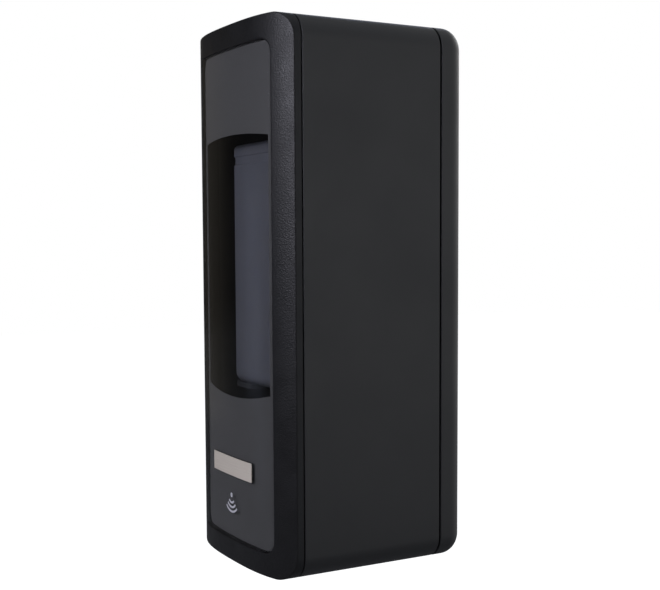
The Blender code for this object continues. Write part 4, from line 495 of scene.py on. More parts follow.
def end_caps(rows, count):
    """Two faces that close the first and the last row of a tube."""
    return [list(range(count))[::-1], list(range((rows - 1) * count, rows * count))]


def loft(name, loops, material, body, nodes=(), ring=False):
    """Loops of equal count joined by quads; a ring also joins the last to the first,
    and else both ends are closed."""
    rows, count = len(loops), len(loops[0])
    faces = grid_faces(rows, count, ring, True).tolist()
    if not ring:
        faces += end_caps(rows, count)
    return new_object(name, np.concatenate(loops), faces, material, body, nodes)


print("quads between two case loops:", len(grid_faces(2, len(case_loop(0)), False, True)))

# %% [markdown]
# ## The front frame
# Its section starts in the groove round the panel, rises to a rounded lip, runs over the
# grained face, rolls over a tight edge of 0.6 mm, and goes back along the
# side strip to the seam. Inside it returns over the spigot and the panel's ledge.

# %% Sizes and outlines of the front frame
PANEL_X = HALF_WIDTH - 15 * MM
PANEL_Z = HALF_HEIGHT - 13 * MM
PANEL_R = 7 * MM
GROOVE = 0.6 * MM
LIP, LIP_POWER = 1.3 * MM, 1.4
EDGE = 0.6 * MM
SHEET = 2.0 * MM
LEDGE_FACE, LEDGE_BACK, LEDGE_WIDTH = 2.7 * MM, 5.0 * MM, 3 * MM
STRIP = 4 * MM
SPIGOT_OUTSIDE, SPIGOT_INSIDE, SPIGOT_LENGTH = SKIN + 0.3 * MM, SKIN + 1.8 * MM, 4 * MM
BEZEL_REAR = -DEPTH + FRONT_BOW + EDGE_TURN + STRIP
SPIGOT_REAR = BEZEL_REAR + SPIGOT_LENGTH
SEAM_EASE = 0.35 * MM


def panel_loop(margin):
    """The panel's outline grown by a margin."""
    return loop(PANEL_X + margin, PANEL_Z + margin, PANEL_R + margin)


def between(share):
    """A loop between the lip and the rolled edge: sizes and radius mixed by share."""
    grown = GROOVE + LIP
    inner = (PANEL_X + grown, PANEL_Z + grown, PANEL_R + grown)
    outer = (HALF_WIDTH - EDGE, HALF_HEIGHT - EDGE, CORNER - EDGE)
    return loop(*[a + share * (b - a) for a, b in zip(inner, outer)])


def shares(count):
    """Even shares up to 1, without the start: 1/count, 2/count, and so on."""
    return np.linspace(0, 1, count + 1)[1:]


print("panel width and height in mm:", round(2 * PANEL_X / MM, 1), round(2 * PANEL_Z / MM, 1))

# %% [markdown]
# The lip's height falls as `L (1 - sin t)^1.4` while it widens as `L (1 - cos t)`, which
# gives it a soft shoulder. The frame's faces on the outer rim take the smooth material,
# whose lighter base is painted light for the side light on these sideways faces.

# %% Build the front frame
RIM_INSET, RIM_FACING = 0.5 * MM, 0.3
section = [behind(panel_loop(GROOVE), LEDGE_FACE), behind(panel_loop(GROOVE), LIP)]
section += [behind(panel_loop(GROOVE + LIP * (1 - math.cos(t))), LIP * (1 - math.sin(t)) ** LIP_POWER)
            for t in QUARTER * shares(5)]
section += [behind(between(share), 0) for share in shares(6)]
section += [behind(case_loop(EDGE * (1 - math.sin(t))), EDGE * (1 - math.cos(t))) for t in QUARTER * shares(6)]
section += [rim(0, BEZEL_REAR - SEAM_EASE), rim(SEAM_EASE, BEZEL_REAR), rim(SPIGOT_OUTSIDE, BEZEL_REAR),
            rim(SPIGOT_OUTSIDE, SPIGOT_REAR), rim(SPIGOT_INSIDE, SPIGOT_REAR)]
section += [behind(case_loop(SPIGOT_INSIDE), LEDGE_BACK), behind(panel_loop(GROOVE - LEDGE_WIDTH), LEDGE_BACK),
            behind(panel_loop(GROOVE - LEDGE_WIDTH), LEDGE_FACE)]
bezel = loft("front_frame", section, bezel_abs, "cover", ["front_bezel"], ring=True)
bezel.data.materials.append(strip_abs_painted_light)
# Sideways faces on the rim take the strip's material, whose lighter base is painted light.
for face in bezel.data.polygons:
    on_rim = case_inset(face.center.x, face.center.z) < RIM_INSET
    face.material_index = int(on_rim and abs(face.normal.y) < RIM_FACING)
print("front frame points:", len(bezel.data.vertices))
print("strip faces:", sum(face.material_index for face in bezel.data.polygons))

# %% [markdown]
# ## Cutting with booleans
# A loop can't branch, so holes are cut: a closed prism over an outline is the tool, and
# the exact solver takes it away from the piece or joins it on. The result replaces the
# mesh at once, so the tool can go.

# %% Boolean helpers


def tool_object(name, points, faces):
    """A tool for a boolean, from points and faces."""
    mesh = bpy.data.meshes.new(name)
    mesh.from_pydata(np.asarray(points).tolist(), [], faces)
    clean(mesh, outward=True)
    return link(name, mesh)


def level(flat, z):
    """Flat points raised to one height."""
    return np.column_stack([flat, np.full(len(flat), z)])


def prism(name, outline, low, high, axis):
    """A closed prism over an outline, for cutting: axis is the one it runs along. Over
    Z the outline is (x, y), over Y it is (x, z), and over X it is (y, z)."""
    order = {"Z": [0, 1, 2], "Y": [0, 2, 1], "X": [2, 0, 1]}[axis]
    count = len(outline)
    points = np.concatenate([level(outline, low), level(outline, high)])
    faces = end_caps(2, count) + grid_faces(2, count, False, True).tolist()
    return tool_object(name, points[:, order], faces)


def combine(target, tool, operation="DIFFERENCE"):
    """Apply an exact boolean with a tool, then remove the tool and reshade the edges."""
    step = target.modifiers.new("combine", "BOOLEAN")
    step.operation = operation
    step.solver = "EXACT"
    step.object = tool
    bpy.context.view_layer.update()
    fresh = bpy.data.meshes.new_from_object(target.evaluated_get(bpy.context.evaluated_depsgraph_get()))
    target.modifiers.clear()
    old, target.data = target.data, fresh
    fresh.name = old.name
    bpy.data.meshes.remove(old)
    bpy.data.objects.remove(tool, do_unlink=True)
    clean(fresh)


def disc(radius, centre, count=48):
    """Points of a circle."""
    return arc(centre, radius, np.linspace(0, 2 * math.pi, count, endpoint=False))


print("points of a round tool:", len(disc(1 * MM, (0, 0))))

# %% [markdown]
# ## The cover
# The cover is an open box of the case's outline, 2.5 mm thick, with eased rims. The
# outlet under it lets the soap fall, and the lock sits flush in a seat on top. The lock's
# place is read from the frame's own box, the outlet's is the solid's.

# %% Build the cover shell, its outlet and the lock's seat
COVER_FRONT = BEZEL_REAR + 0.5 * MM
COVER_REAR = -17.0 * MM
PAST = 5 * MM
OUTLET_X, OUTLET_FRONT, OUTLET_REAR, OUTLET_R = 28 * MM, -98 * MM, -47 * MM, 4 * MM
BARREL_HOLE_R, FLANGE_SEAT_R = 7.3 * MM, 9.3 * MM
BARREL_HOLE_DEPTH, FLANGE_SEAT_DEPTH = 6 * MM, 1.3 * MM
tube = [rim(SEAM_EASE, COVER_FRONT), rim(0, COVER_FRONT + SEAM_EASE), rim(0, COVER_REAR - SEAM_EASE),
        rim(SEAM_EASE, COVER_REAR), rim(SKIN, COVER_REAR), rim(SKIN, COVER_FRONT)]
cover = loft("cover_side", tube, side_abs, "cover", ["cover_shell"], ring=True)
outlet_outline = rounded_corners(OUTLET_X, OUTLET_FRONT, OUTLET_REAR, OUTLET_R, 10)
combine(cover, prism("outlet_tool", outlet_outline, -HALF_HEIGHT - PAST, -HALF_HEIGHT + PAST, "Z"))
lock_low, lock_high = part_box("lock_barrel")
lock_centre = ((lock_low[0] + lock_high[0]) / 2, (lock_low[1] + lock_high[1]) / 2)
for name, radius, depth in (("lock_tool", BARREL_HOLE_R, BARREL_HOLE_DEPTH),
                            ("seat_tool", FLANGE_SEAT_R, FLANGE_SEAT_DEPTH)):
    combine(cover, prism(name, disc(radius, lock_centre), HALF_HEIGHT - depth, HALF_HEIGHT + PAST, "Z"))
print("cover points:", len(cover.data.vertices))

# %% [markdown]
# The cover turns on two pins low at the back. Each pin runs through a knuckle of the
# cover between two ears of the back part: half a circle round the hinge's axis and a
# straight web, which leads to the front for the knuckle and to the wall for an ear.

# %% Add the cover's hinge knuckles
HINGE = (-14.3 * MM, -142.7 * MM)
KNUCKLE, WEB = 2.2 * MM, 5.4 * MM
EAR_INNER, EAR_WIDTH, KNUCKLE_WIDTH, RUN = 30 * MM, 4 * MM, 5.4 * MM, 0.3 * MM


def lug_outline(side):
    """Half a circle round the hinge and a web: to the front for side -1, to the wall for +1."""
    nose = arc(HINGE, KNUCKLE, side * QUARTER + np.linspace(0, math.pi, 25))
    last = HINGE[0] + side * WEB
    return np.concatenate([nose, [(last, nose[-1][1]), (last, nose[0][1])]])


knuckle_low = EAR_INNER + EAR_WIDTH + RUN
knuckle_spans = [(-knuckle_low - KNUCKLE_WIDTH, -knuckle_low), (knuckle_low, knuckle_low + KNUCKLE_WIDTH)]
for start, end in knuckle_spans:
    combine(cover, prism("knuckle", lug_outline(-1), start, end, "X"), "UNION")
print("cover after cuts:", len(cover.data.vertices), "points")

# %% [markdown]
# ## The back part
# Behind the dark seam the back part ends in a 10 mm fillet, a quarter circle of loops:
# `inset = R (1 - cos t)`, `depth = -R (1 - sin t)`. Its inside is a tray with the same
# bend, 3 mm inside the wall face. One loft runs from the wall face over the rim inside.

# %% Build the back part's tray
BACK_FACE = -16.0 * MM
FILLET, WALL_FACE_INSET = 10.0 * MM, 14.0 * MM
FLOOR_FACE = -3 * MM
INNER_FILLET = FILLET + FLOOR_FACE
fillet = np.linspace(0, QUARTER, 13)
outside = [rim(SEAM_EASE, BACK_FACE), rim(0, BACK_FACE + SEAM_EASE)]
outside += [rim(FILLET * (1 - math.cos(t)), -FILLET * (1 - math.sin(t))) for t in fillet]
outside += [rim(WALL_FACE_INSET, 0.0)]
inside = [rim(SKIN, BACK_FACE)]
inside += [rim(SKIN + INNER_FILLET * (1 - math.cos(t)), FLOOR_FACE - INNER_FILLET * (1 - math.sin(t)))
           for t in fillet]
back = loft("back_part", outside[::-1] + inside, side_abs, "wall_unit", ["back_plate"])
print("back part points:", len(back.data.vertices))

# %% [markdown]
# Thin moulded walls bend, so a lattice of ribs stiffens the tray. As one mesh it joins
# cleanly in a single boolean, where many crossing ribs would each need their own. Four
# bosses take the inner frame's screws, and four upright slots take the wall's.

# %% Add ribs, bosses and wall slots
RIB_HEIGHT, RIB_WALL, RIB_PITCH = 5 * MM, 1.6 * MM, 21.6 * MM
RIB_COLUMNS, RIB_ROWS = 3, 8
SUNK = 0.5 * MM
BOSS_PLACES = [(x * MM, z * MM) for x in (-44, 44) for z in (118, -58.5)]
BOSS_R, SCREW_HOLE_R = 4.2 * MM, 1.6 * MM
SLOT_PLACES = [(x * MM, z * MM) for x in (-34, 34) for z in (-88, 88)]
SLOT_R, SLOT_LENGTH = 2.4 * MM, 12 * MM


def lattice(name, columns, rows, low, high):
    """A rib lattice: breaks lie at `(k - n / 2) pitch` plus and minus half a wall, and a
    square of the grid is solid where either of its directions lies inside a rib."""
    xs, zs = [[(k - count / 2) * RIB_PITCH + side * RIB_WALL / 2 for k in range(count + 1) for side in (-1, 1)]
              for count in (columns, rows)]
    wide = len(zs)
    points = [(x, y, z) for y in (low, high) for x in xs for z in zs]
    solid = {(i, j) for i in range(len(xs) - 1) for j in range(wide - 1) if i % 2 == 0 or j % 2 == 0}
    storey = len(xs) * wide
    faces = []
    for i, j in sorted(solid):
        ring = [i * wide + j, (i + 1) * wide + j, (i + 1) * wide + j + 1, i * wide + j + 1]
        faces += [ring, [k + storey for k in ring[::-1]]]
        for side, (di, dj) in enumerate([(0, -1), (1, 0), (0, 1), (-1, 0)]):
            if (i + di, j + dj) not in solid:
                a, b = ring[side], ring[(side + 1) % 4]
                faces.append([b, a, a + storey, b + storey])
    return tool_object(name, points, faces)


def slot_outline(x, z, radius, length):
    """An upright slot: two half circles of one radius, their outer ends `length` apart."""
    turns = np.linspace(0, math.pi, 13)
    reach = length / 2 - radius
    return np.concatenate([arc((x, z + reach), radius, turns), arc((x, z - reach), radius, turns + math.pi)])


combine(back, lattice("ribs", RIB_COLUMNS, RIB_ROWS, FLOOR_FACE - RIB_HEIGHT, FLOOR_FACE + SUNK), "UNION")
for place in BOSS_PLACES:
    combine(back, prism("boss", disc(BOSS_R, place), BACK_FACE - 1 * MM, FLOOR_FACE + SUNK, "Y"), "UNION")
    combine(back, prism("boss_hole", disc(SCREW_HOLE_R, place, 32), BACK_FACE - 3 * MM, FLOOR_FACE, "Y"))
for x, z in SLOT_PLACES:
    combine(back, prism("wall_slot", slot_outline(x, z, SLOT_R, SLOT_LENGTH), -12 * MM, 2 * MM, "Y"))
print("back part after ribs:", len(back.data.vertices), "points")

# %% [markdown]
# Low down the tray's lip is cut back, so that the open cover has room to swing. Round
# each knuckle a space is left, two ears are joined on beside it, and one bore for the pin
# runs through ears and knuckle.

# %% Cut the notch and add the hinge ears
ROOM_R, NOTCH_TOP = KNUCKLE + 0.6 * MM, HINGE[1] + 0.5 * MM
NOTCH_REAR, WEB_ROOM_REAR = HINGE[0] - 0.9 * MM, HINGE[0] + KNUCKLE + 1.2 * MM
NOTCH_HALF, PIN_BORE_R, PIN_REACH = 60 * MM, 1.1 * MM, 8 * MM


def side_block(name, x_span, rear):
    """A plain block under the notch's top, over a span of x, from the front to a depth."""
    front, foot = BACK_FACE - 2 * MM, -HALF_HEIGHT - PAST
    outline = [(front, foot), (rear, foot), (rear, NOTCH_TOP), (front, NOTCH_TOP)]
    return prism(name, outline, x_span[0], x_span[1], "X")


combine(back, side_block("hinge_notch", (-NOTCH_HALF, NOTCH_HALF), NOTCH_REAR))
for start, end in knuckle_spans:
    room = (start - RUN, end + RUN)
    combine(back, prism("knuckle_room", disc(ROOM_R, HINGE), room[0], room[1], "X"))
    combine(back, side_block("web_room", room, WEB_ROOM_REAR))
    for ear in ((room[0] - EAR_WIDTH, room[0]), (room[1], room[1] + EAR_WIDTH)):
        combine(back, prism("ear", lug_outline(1), ear[0], ear[1], "X"), "UNION")
    for target in (back, cover):
        combine(target, prism("pin_bore", disc(PIN_BORE_R, HINGE, 32), room[0] - PIN_REACH, room[1] + PIN_REACH, "X"))
print("back part after ears:", len(back.data.vertices), "points")

# %% [markdown]
# ## The smoked panel
# PMMA is glossy and clear; this one is smoked and lets about two thirds of the light
# through: the shader's alpha is the rest. Behind it a film, printed grey on its face,
# leaves only the window clear.

# %% Materials of the panel and the film
smoked_pmma, tree, shader, space = start_material("PMMA_smoked_panel", "#0b0a0a", 0.16, IOR=1.49, Alpha=0.36)
vary_roughness(tree, space, shader, 0.14, 0.19, 25)
panel_film = start_material("printed_film_grey", "#9c9c9c", 0.55, ("#979797", "#a1a1a1", 35))[0]
print("made", smoked_pmma.name, "and", panel_film.name)

# %% [markdown]
# The panel is one curved sheet, 2 mm thick. Rows of points run across it, and each
# row's half length follows the rounded corner: `x = X - R + sqrt(R^2 - (z - Z + R)^2)`.
# A shallow pocket for the plate will be sunk into its face, so rows and columns of points
# are laid exactly along the pocket's edges.

# %% Lay out the panel's points
PLATE_HALF_X, PLATE_HALF_Z, PLATE_Z = 24 * MM, 5.15 * MM, -92.4 * MM
POCKET_MARGIN, POCKET_DEPTH = 0.3 * MM, 1.0 * MM
POCKET_X, POCKET_Z = PLATE_HALF_X + POCKET_MARGIN, PLATE_HALF_Z + POCKET_MARGIN


def row_heights():
    """Heights of the panel's rows: close in its corners, and one at each pocket edge."""
    bend = PANEL_R * (1 - np.cos(np.linspace(0, QUARTER, 13)))
    low, high = PLATE_Z - POCKET_Z, PLATE_Z + POCKET_Z
    middle = np.concatenate([np.linspace(-PANEL_Z + PANEL_R, low, 6)[1:], [high],
                             np.linspace(high, PANEL_Z - PANEL_R, 30)[1:-1]])
    return np.concatenate([-PANEL_Z + bend, middle, (PANEL_Z - bend)[::-1]])


def row_reach(z):
    """Half the panel's width at each height: full, or shortened along the corner's circle."""
    over = np.maximum(abs(z) - (PANEL_Z - PANEL_R), 0)
    return PANEL_X - PANEL_R + np.sqrt(np.maximum(PANEL_R ** 2 - over ** 2, 0))


def panel_grid(inset):
    """Points across the panel on the curved front, moved back by an inset."""
    edge = POCKET_X / PANEL_X
    columns = np.concatenate([np.linspace(-1, -edge, 12), np.linspace(-edge, edge, 21)[1:-1],
                              np.linspace(edge, 1, 12)])
    z = row_heights()
    x = columns * row_reach(z)[:, None]
    return np.stack([x, front_y(x) + inset, np.broadcast_to(z[:, None], x.shape)], 2)


print("panel's rows, columns and coordinates:", panel_grid(0.0).shape)

# %% [markdown]
# A closed sheet is two such grids and a rim. The pocket is made from the faces inside
# its edges: they are extruded, sunk by 1 mm and left as its floor.

# %% Build the panel with its pocket


def sheet(name, near, far, material, body, nodes):
    """A closed sheet between two grids: front, back and a rim joined all round."""
    front, rear = panel_grid(near), panel_grid(far)
    rows, columns = front.shape[:2]
    points = np.concatenate([front.reshape(-1, 3), rear.reshape(-1, 3)])
    quads = grid_faces(rows, columns, False, False)
    numbers = np.arange(rows * columns).reshape(rows, columns)
    edge = np.concatenate([numbers[0], numbers[1:, -1], numbers[-1, -2::-1], numbers[-2:0:-1, 0]])
    after = np.roll(edge, -1)
    count = rows * columns
    side = np.stack([edge, after, after + count, edge + count], 1)
    faces = quads.tolist() + (quads[:, ::-1] + count).tolist() + side.tolist()
    return new_object(name, points, faces, material, body, nodes)


panel = sheet("smoked_panel", 0.0, SHEET, smoked_pmma, "cover", ["front_panel"])
work = bmesh.new()
work.from_mesh(panel.data)
sunk = [face for face in work.faces if abs(face.calc_center_median().x) < POCKET_X
        and face.normal.y < -0.5 and abs(face.calc_center_median().z - PLATE_Z) < POCKET_Z]
moved = bmesh.ops.extrude_face_region(work, geom=sunk)["geom"]
bmesh.ops.delete(work, geom=sunk, context="FACES")
for vert in [part for part in moved if isinstance(part, bmesh.types.BMVert)]:
    vert.co.y += POCKET_DEPTH
work.to_mesh(panel.data)
work.free()
clean(panel.data)
bevel(panel, 0.35, 3)
print("panel points:", len(panel.data.vertices), "pocket faces:", len(sunk))

# %% [markdown]
# The film is the same sheet, thin, behind the panel. Its window has straight sides and
# an upper and a lower edge that sag by parabolas, `z = edge + sag s^2` with s from -1 to 1.

# %% Build the film with its window
FILM_NEAR, FILM_FAR = SHEET + 0.3 * MM, SHEET + 0.65 * MM
WINDOW_X = 38.4 * MM
WINDOW_TOP, TOP_SAG = 87.1 * MM, 2.5 * MM
WINDOW_LOW, LOW_SAG = -54.3 * MM, 4.5 * MM
film = sheet("panel_film", FILM_NEAR, FILM_FAR, panel_film, "cover", ["panel_mask"])
across = np.linspace(-1, 1, 49)
window = np.concatenate([np.stack([WINDOW_X * across, WINDOW_LOW + LOW_SAG * across ** 2], 1),
                         np.stack([WINDOW_X * across, WINDOW_TOP - TOP_SAG * across ** 2], 1)[::-1]])
combine(film, prism("window_tool", window, -DEPTH - PAST, -DEPTH + 4 * PAST, "Y"))
print("film points:", len(film.data.vertices))

# %% [markdown]
# ## The plate and the printed symbol
# The plate is bare satin aluminium, brushed along its length: its noise is stretched to
# 14 mm along x and pressed to 0.25 mm along z. The symbol is a light screen print.

# %% Materials of the plate and the print
BRUSH_LENGTH_MM, BRUSH_WIDTH_MM = 14, 0.25
satin_aluminium, tree, shader, space = start_material("aluminium_satin_plate", "#dfd5c6", 0.42, Metallic=0.35)
brushed = add_node(tree, "Mapping", Vector=space, Scale=(
    per_metre(BRUSH_LENGTH_MM), per_metre(BRUSH_LENGTH_MM), per_metre(BRUSH_WIDTH_MM)))
streaks = add_node(tree, "TexNoise", Vector=brushed.outputs[0], Scale=1.0, Detail=3.0)
blend(tree, shader, streaks.outputs["Fac"], "#d3c9ba", "#e9e0d2")
emboss(tree, shader, streaks.outputs["Fac"], 0.25, 0.01)
light_print = start_material("screen_print_light_grey", "#b9b9be", 0.45, ("#b2b2b7", "#c0c0c5", 2))[0]
print("made", satin_aluminium.name, "and", light_print.name)

# %% [markdown]
# Plate and print are flat outlines laid on the curved front. The print shows where a
# hand is sensed, by a dot and three arcs: each arc runs from 225 to 315 degrees, out
# along one radius and back along the other, at radii that grow by even steps.

# %% Build the plate and the symbol
PLATE_SINK, PLATE_THICK = 0.1 * MM, 0.6 * MM
SYMBOL = (0.6 * MM, -108.3 * MM)
PRINT_RISE, PRINT_THICK = 0.02 * MM, 0.03 * MM
DOT_R, ARC_WIDTH, ARC_RADII = 1.3 * MM, 1.15 * MM, (4.2 * MM, 6.7 * MM, 9.2 * MM)
ARC_SPAN = np.radians(np.linspace(225, 315, 25))


def curved_strip(name, outlines, near, thick, material, body, nodes=()):
    """Flat outlines in (x, z), each out along one edge and back along the other, laid on
    the curved front at an inset and given a thickness."""
    points, faces = [], []
    for flat in outlines:
        start, count = len(points), len(flat)
        points += np.concatenate([behind(flat, inset) for inset in (near, near + thick)]).tolist()
        faces += [[start + k, start + (k + 1) % count, start + count + (k + 1) % count, start + count + k]
                  for k in range(count)]
        for k in range(count // 2 - 1):
            quad = [start + k, start + k + 1, start + count - 2 - k, start + count - 1 - k]
            faces += [quad, [q + count for q in quad[::-1]]]
    return new_object(name, points, faces, material, body, nodes)


along = PLATE_HALF_X * np.linspace(-1, 1, 33)
plate_outline = np.concatenate([np.stack([along, np.full_like(along, PLATE_Z - PLATE_HALF_Z)], 1),
                                np.stack([along, np.full_like(along, PLATE_Z + PLATE_HALF_Z)], 1)[::-1]])
plate = curved_strip("bare_plate", [plate_outline], PLATE_SINK, PLATE_THICK, satin_aluminium, "cover", ["name_plate"])
bevel(plate, 0.15, 2)
marks = [np.concatenate([arc(SYMBOL, radius + ARC_WIDTH / 2, ARC_SPAN),
                         arc(SYMBOL, radius - ARC_WIDTH / 2, ARC_SPAN)[::-1]]) for radius in ARC_RADII]
dot_turns = np.linspace(math.pi, -math.pi, 24, endpoint=False) - math.pi / 24
marks.append(arc(SYMBOL, DOT_R, dot_turns))
symbol = curved_strip("sensor_symbol", marks, -PRINT_RISE, PRINT_THICK, light_print, "cover")
print("plate points:", len(plate.data.vertices), "print points:", len(symbol.data.vertices))

# %% [markdown]
# ## The refill
# The bottle is blown from blue-grey tinted polyethylene and holds the soap. The wall is
# thin and a little light spreads inside it, which the shader's subsurface share repeats.

# %% Material of the refill
bottle_pe, tree, shader, space = start_material(
    "polyethylene_blue_grey", "#a8abb6", 0.38, ("#a2a5b1", "#aeb1bb", 18), IOR=1.51,
    Subsurface_Weight=0.25, Subsurface_Radius=(4 * MM, 5 * MM, 7 * MM))
grain(tree, space, shader, 1.2, 0.03, 0.25)
print("made", bottle_pe.name)

# %% [markdown]
# Its plan is a rounded rectangle that draws in at the shoulder and at the closed end
# along quarter circles. Near the top a shallow band runs round, pressed in by 0.7 mm,
# and the neck points down to the pump.

# %% Build the bottle
bottle_low, bottle_high = (np.array(c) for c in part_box("soap_bottle"))
pump_low, pump_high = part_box("pump_body")
PUMP_X = (pump_low[0] + pump_high[0]) / 2
PUMP_Y = (pump_low[1] + pump_high[1]) / 2
BODY_HALF_X, BODY_HALF_Y = (bottle_high[:2] - bottle_low[:2]) / 2
BODY_Y = (bottle_high[1] + bottle_low[1]) / 2
BODY_FOOT, BODY_TOP = bottle_low[2] + 9.5 * MM, bottle_high[2]
PLAN_R, LEAST_PLAN_R, SHOULDER_R, TOP_R = 8 * MM, 0.8 * MM, 6.0 * MM, 3.0 * MM
BAND_FALLS_AND_INSETS_MM = [(12.0, 0.0), (11.4, 0.0), (10.9, 0.7), (6.9, 0.7), (6.4, 0.0)]
WALL_ROWS = 12


def plan_loop(inset, z):
    """A level rounded rectangle drawn in by an inset, at height z."""
    half_y, radius = BODY_HALF_Y - inset, max(PLAN_R - inset, LEAST_PLAN_R)
    return level(rounded_corners(BODY_HALF_X - inset, BODY_Y - half_y, BODY_Y + half_y, radius, 12), z)


bend = np.linspace(0, QUARTER, 10)
levels = [plan_loop(SHOULDER_R * (1 - math.sin(t)), BODY_FOOT + SHOULDER_R * (1 - math.cos(t))) for t in bend]
wall_foot, wall_top = BODY_FOOT + SHOULDER_R, BODY_TOP - BAND_FALLS_AND_INSETS_MM[0][0] * MM
levels += [plan_loop(0, z) for z in np.linspace(wall_foot, wall_top, WALL_ROWS + 2)[1:-1]]
levels += [plan_loop(inset * MM, BODY_TOP - fall * MM) for fall, inset in BAND_FALLS_AND_INSETS_MM]
levels += [plan_loop(TOP_R * (1 - math.cos(t)), BODY_TOP - TOP_R * (1 - math.sin(t))) for t in bend]
bottle = loft("refill_bottle", levels, bottle_pe, "refill", ["soap_bottle"])
print("bottle points:", len(bottle.data.vertices))

# %% [markdown]
# The neck is turned: a profile of radius and height goes round the pump's axis. On the
# real bottle it is threaded, but the collar hides that.

# %% Turn the bottle's neck
NECK_R, NECK_LIP, NECK_LAP = 13 * MM, 0.5 * MM, 1 * MM
neck_foot = bottle_low[2]
neck_profile = [(NECK_R - NECK_LIP, neck_foot), (NECK_R, neck_foot + NECK_LIP), (NECK_R, BODY_FOOT + NECK_LAP)]
neck_rows = [level(disc(radius, (PUMP_X, PUMP_Y), 64), z) for radius, z in neck_profile]
neck = loft("bottle_neck", neck_rows, bottle_pe, "refill", ["soap_bottle"])
print("neck points:", len(neck.data.vertices))

# %% [markdown]
# ## Everything inside
# The inner frame, gearbox, gears, motor, cells and board keep their solids, each with its
# own material and a bevel to suit its size. Screws and lenses are small, so they get
# little or none.

# %% Carry the inner solids over


def numbered(name, count):
    """Names that end in _1, _2 and so on."""
    return [f"{name}_{k + 1}" for k in range(count)]


INNER = [  # body, material, bevel in mm, nodes
    ("wall_unit", grey_abs, 0.3, ["inner_frame", "bottle_shelf", "gearbox_base", "gearbox_cover",
                                  "battery_box", "board_cover", "lock_keeper"]),
    ("wall_unit", steel, 0.12, ["hinge_pin_left", "hinge_pin_right", *numbered("frame_screw", 4),
                                *numbered("gearbox_screw", 4), "shelf_screw_left", "shelf_screw_right",
                                *numbered("gear_axle", 2), "output_axle", "motor", "battery_contact_low",
                                "battery_contact_top"]),
    ("wall_unit", side_abs, 0.3, ["sensor_housing"]),
    ("wall_unit", smoked_pmma, 0.1, ["sensor_window"]),
    ("wall_unit", clear_resin, 0, ["ir_emitter"]),
    ("wall_unit", dark_resin, 0, ["ir_receiver"]),
    ("wall_unit", cell_sleeve, 0.3, numbered("battery", 4)),
    ("wall_unit", laminate, 0.1, ["circuit_board"]),
    ("wall_unit", red_lens, 0, ["status_lamp"]),
    ("cover", steel, 0.15, ["lock_barrel", "lock_nut"]),
    ("lock", steel, 0.12, ["lock_plug", "lock_cam"]),
    ("refill", polypropylene, 0.2, ["bottle_collar", "pump_body"]),
    ("nozzle", polypropylene, 0.2, ["pump_nozzle"]),
    ("lifter", acetal, 0.15, ["pump_lifter"]),
    ("output_gear_body", acetal, 0.08, ["output_gear"]),
    ("gear_2_body", acetal, 0.08, ["gear_2"]),
    ("gear_1_body", acetal, 0.06, ["gear_1"]),
    ("pinion_body", steel, 0.05, ["motor_pinion"]),
    ("battery_door_body", grey_abs, 0.3, ["battery_door"]),
    ("power_switch_body", polypropylene, 0.2, ["power_switch"]),
    ("dose_switch_body", polypropylene, 0.2, ["dose_switch"]),
]
carried = [carry(node, body, material, width_mm) for body, material, width_mm, nodes in INNER for node in nodes]
print("inner pieces carried:", len(carried))

# %% [markdown]
# ## The return spring
# The wire is swept along a helix: `x = r cos t`, `y = r sin t`, and z rises with t, less
# at both ends, so that the end coils lie nearly flat.

# %% Wind the spring
spring_low, spring_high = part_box("pump_spring")
WIRE = 0.55 * MM
SPRING_R = 7.8 * MM
TURNS, PER_TURN, ROUND = 4, 40, 12
FLATTEN = 0.055


def helix(low, high):
    """Wire centres: the rise is s - f sin(2 pi s) for a share s of the whole length."""
    share = np.linspace(0, 1, TURNS * PER_TURN + 1)
    rise = share - FLATTEN * np.sin(2 * math.pi * share)
    flat = arc((0, PUMP_Y), SPRING_R, 2 * math.pi * TURNS * share)
    return np.column_stack([flat, low + WIRE + rise * (high - low - 2 * WIRE)])


def sweep(name, line, radius, material, body, nodes):
    """A round tube along a line: each ring is centre + radius (cos t side + sin t up),
    where side and up lie across the line's direction there."""
    along = np.gradient(line, axis=0)
    along /= np.linalg.norm(along, axis=1)[:, None]
    side = np.cross(along, (0, 0, 1.0))
    side /= np.linalg.norm(side, axis=1)[:, None]
    up = np.cross(side, along)
    turns = np.linspace(0, 2 * math.pi, ROUND, endpoint=False)[:, None]
    rings = line[:, None] + radius * (np.cos(turns) * side[:, None] + np.sin(turns) * up[:, None])
    return loft(name, rings, material, body, nodes)


spring = sweep("return_spring", helix(spring_low[2], spring_high[2]), WIRE, steel, "refill", ["pump_spring"])
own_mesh(spring)
print("spring points:", len(spring.data.vertices))

# %% [markdown]
# ## The floor
# The floor is plain and pale, and low enough for the cover to swing down. Seen by the
# camera or through clear parts it is white, as the photograph's surround is, and Light
# Path tells these rays apart. A glossy ray sees the same white where the backdrop stands,
# behind the object, so that metal and glass show it too. Its own shade keeps the shadow.

# %% Lay the floor
FLOOR_REACH, FLOOR_Z = 3.0, -HALF_HEIGHT - 120 * MM
FLOOR_GLOW = 0.95


def math_node(tree, operation, first, second):
    """The result of one sum on two values or sockets."""
    return add_node(tree, "Math", {"operation": operation}, _0=first, _1=second).outputs[0]


def seen_share(tree, gloss_share):
    """How much of the white a ray sees: all by camera or transmission rays, and a share
    by glossy ones: max(camera, transmission, glossy x share)."""
    paths = add_node(tree, "LightPath").outputs
    direct = math_node(tree, "MAXIMUM", paths["Is Camera Ray"], paths["Is Transmission Ray"])
    return math_node(tree, "MAXIMUM", direct, math_node(tree, "MULTIPLY", paths["Is Glossy Ray"], gloss_share))


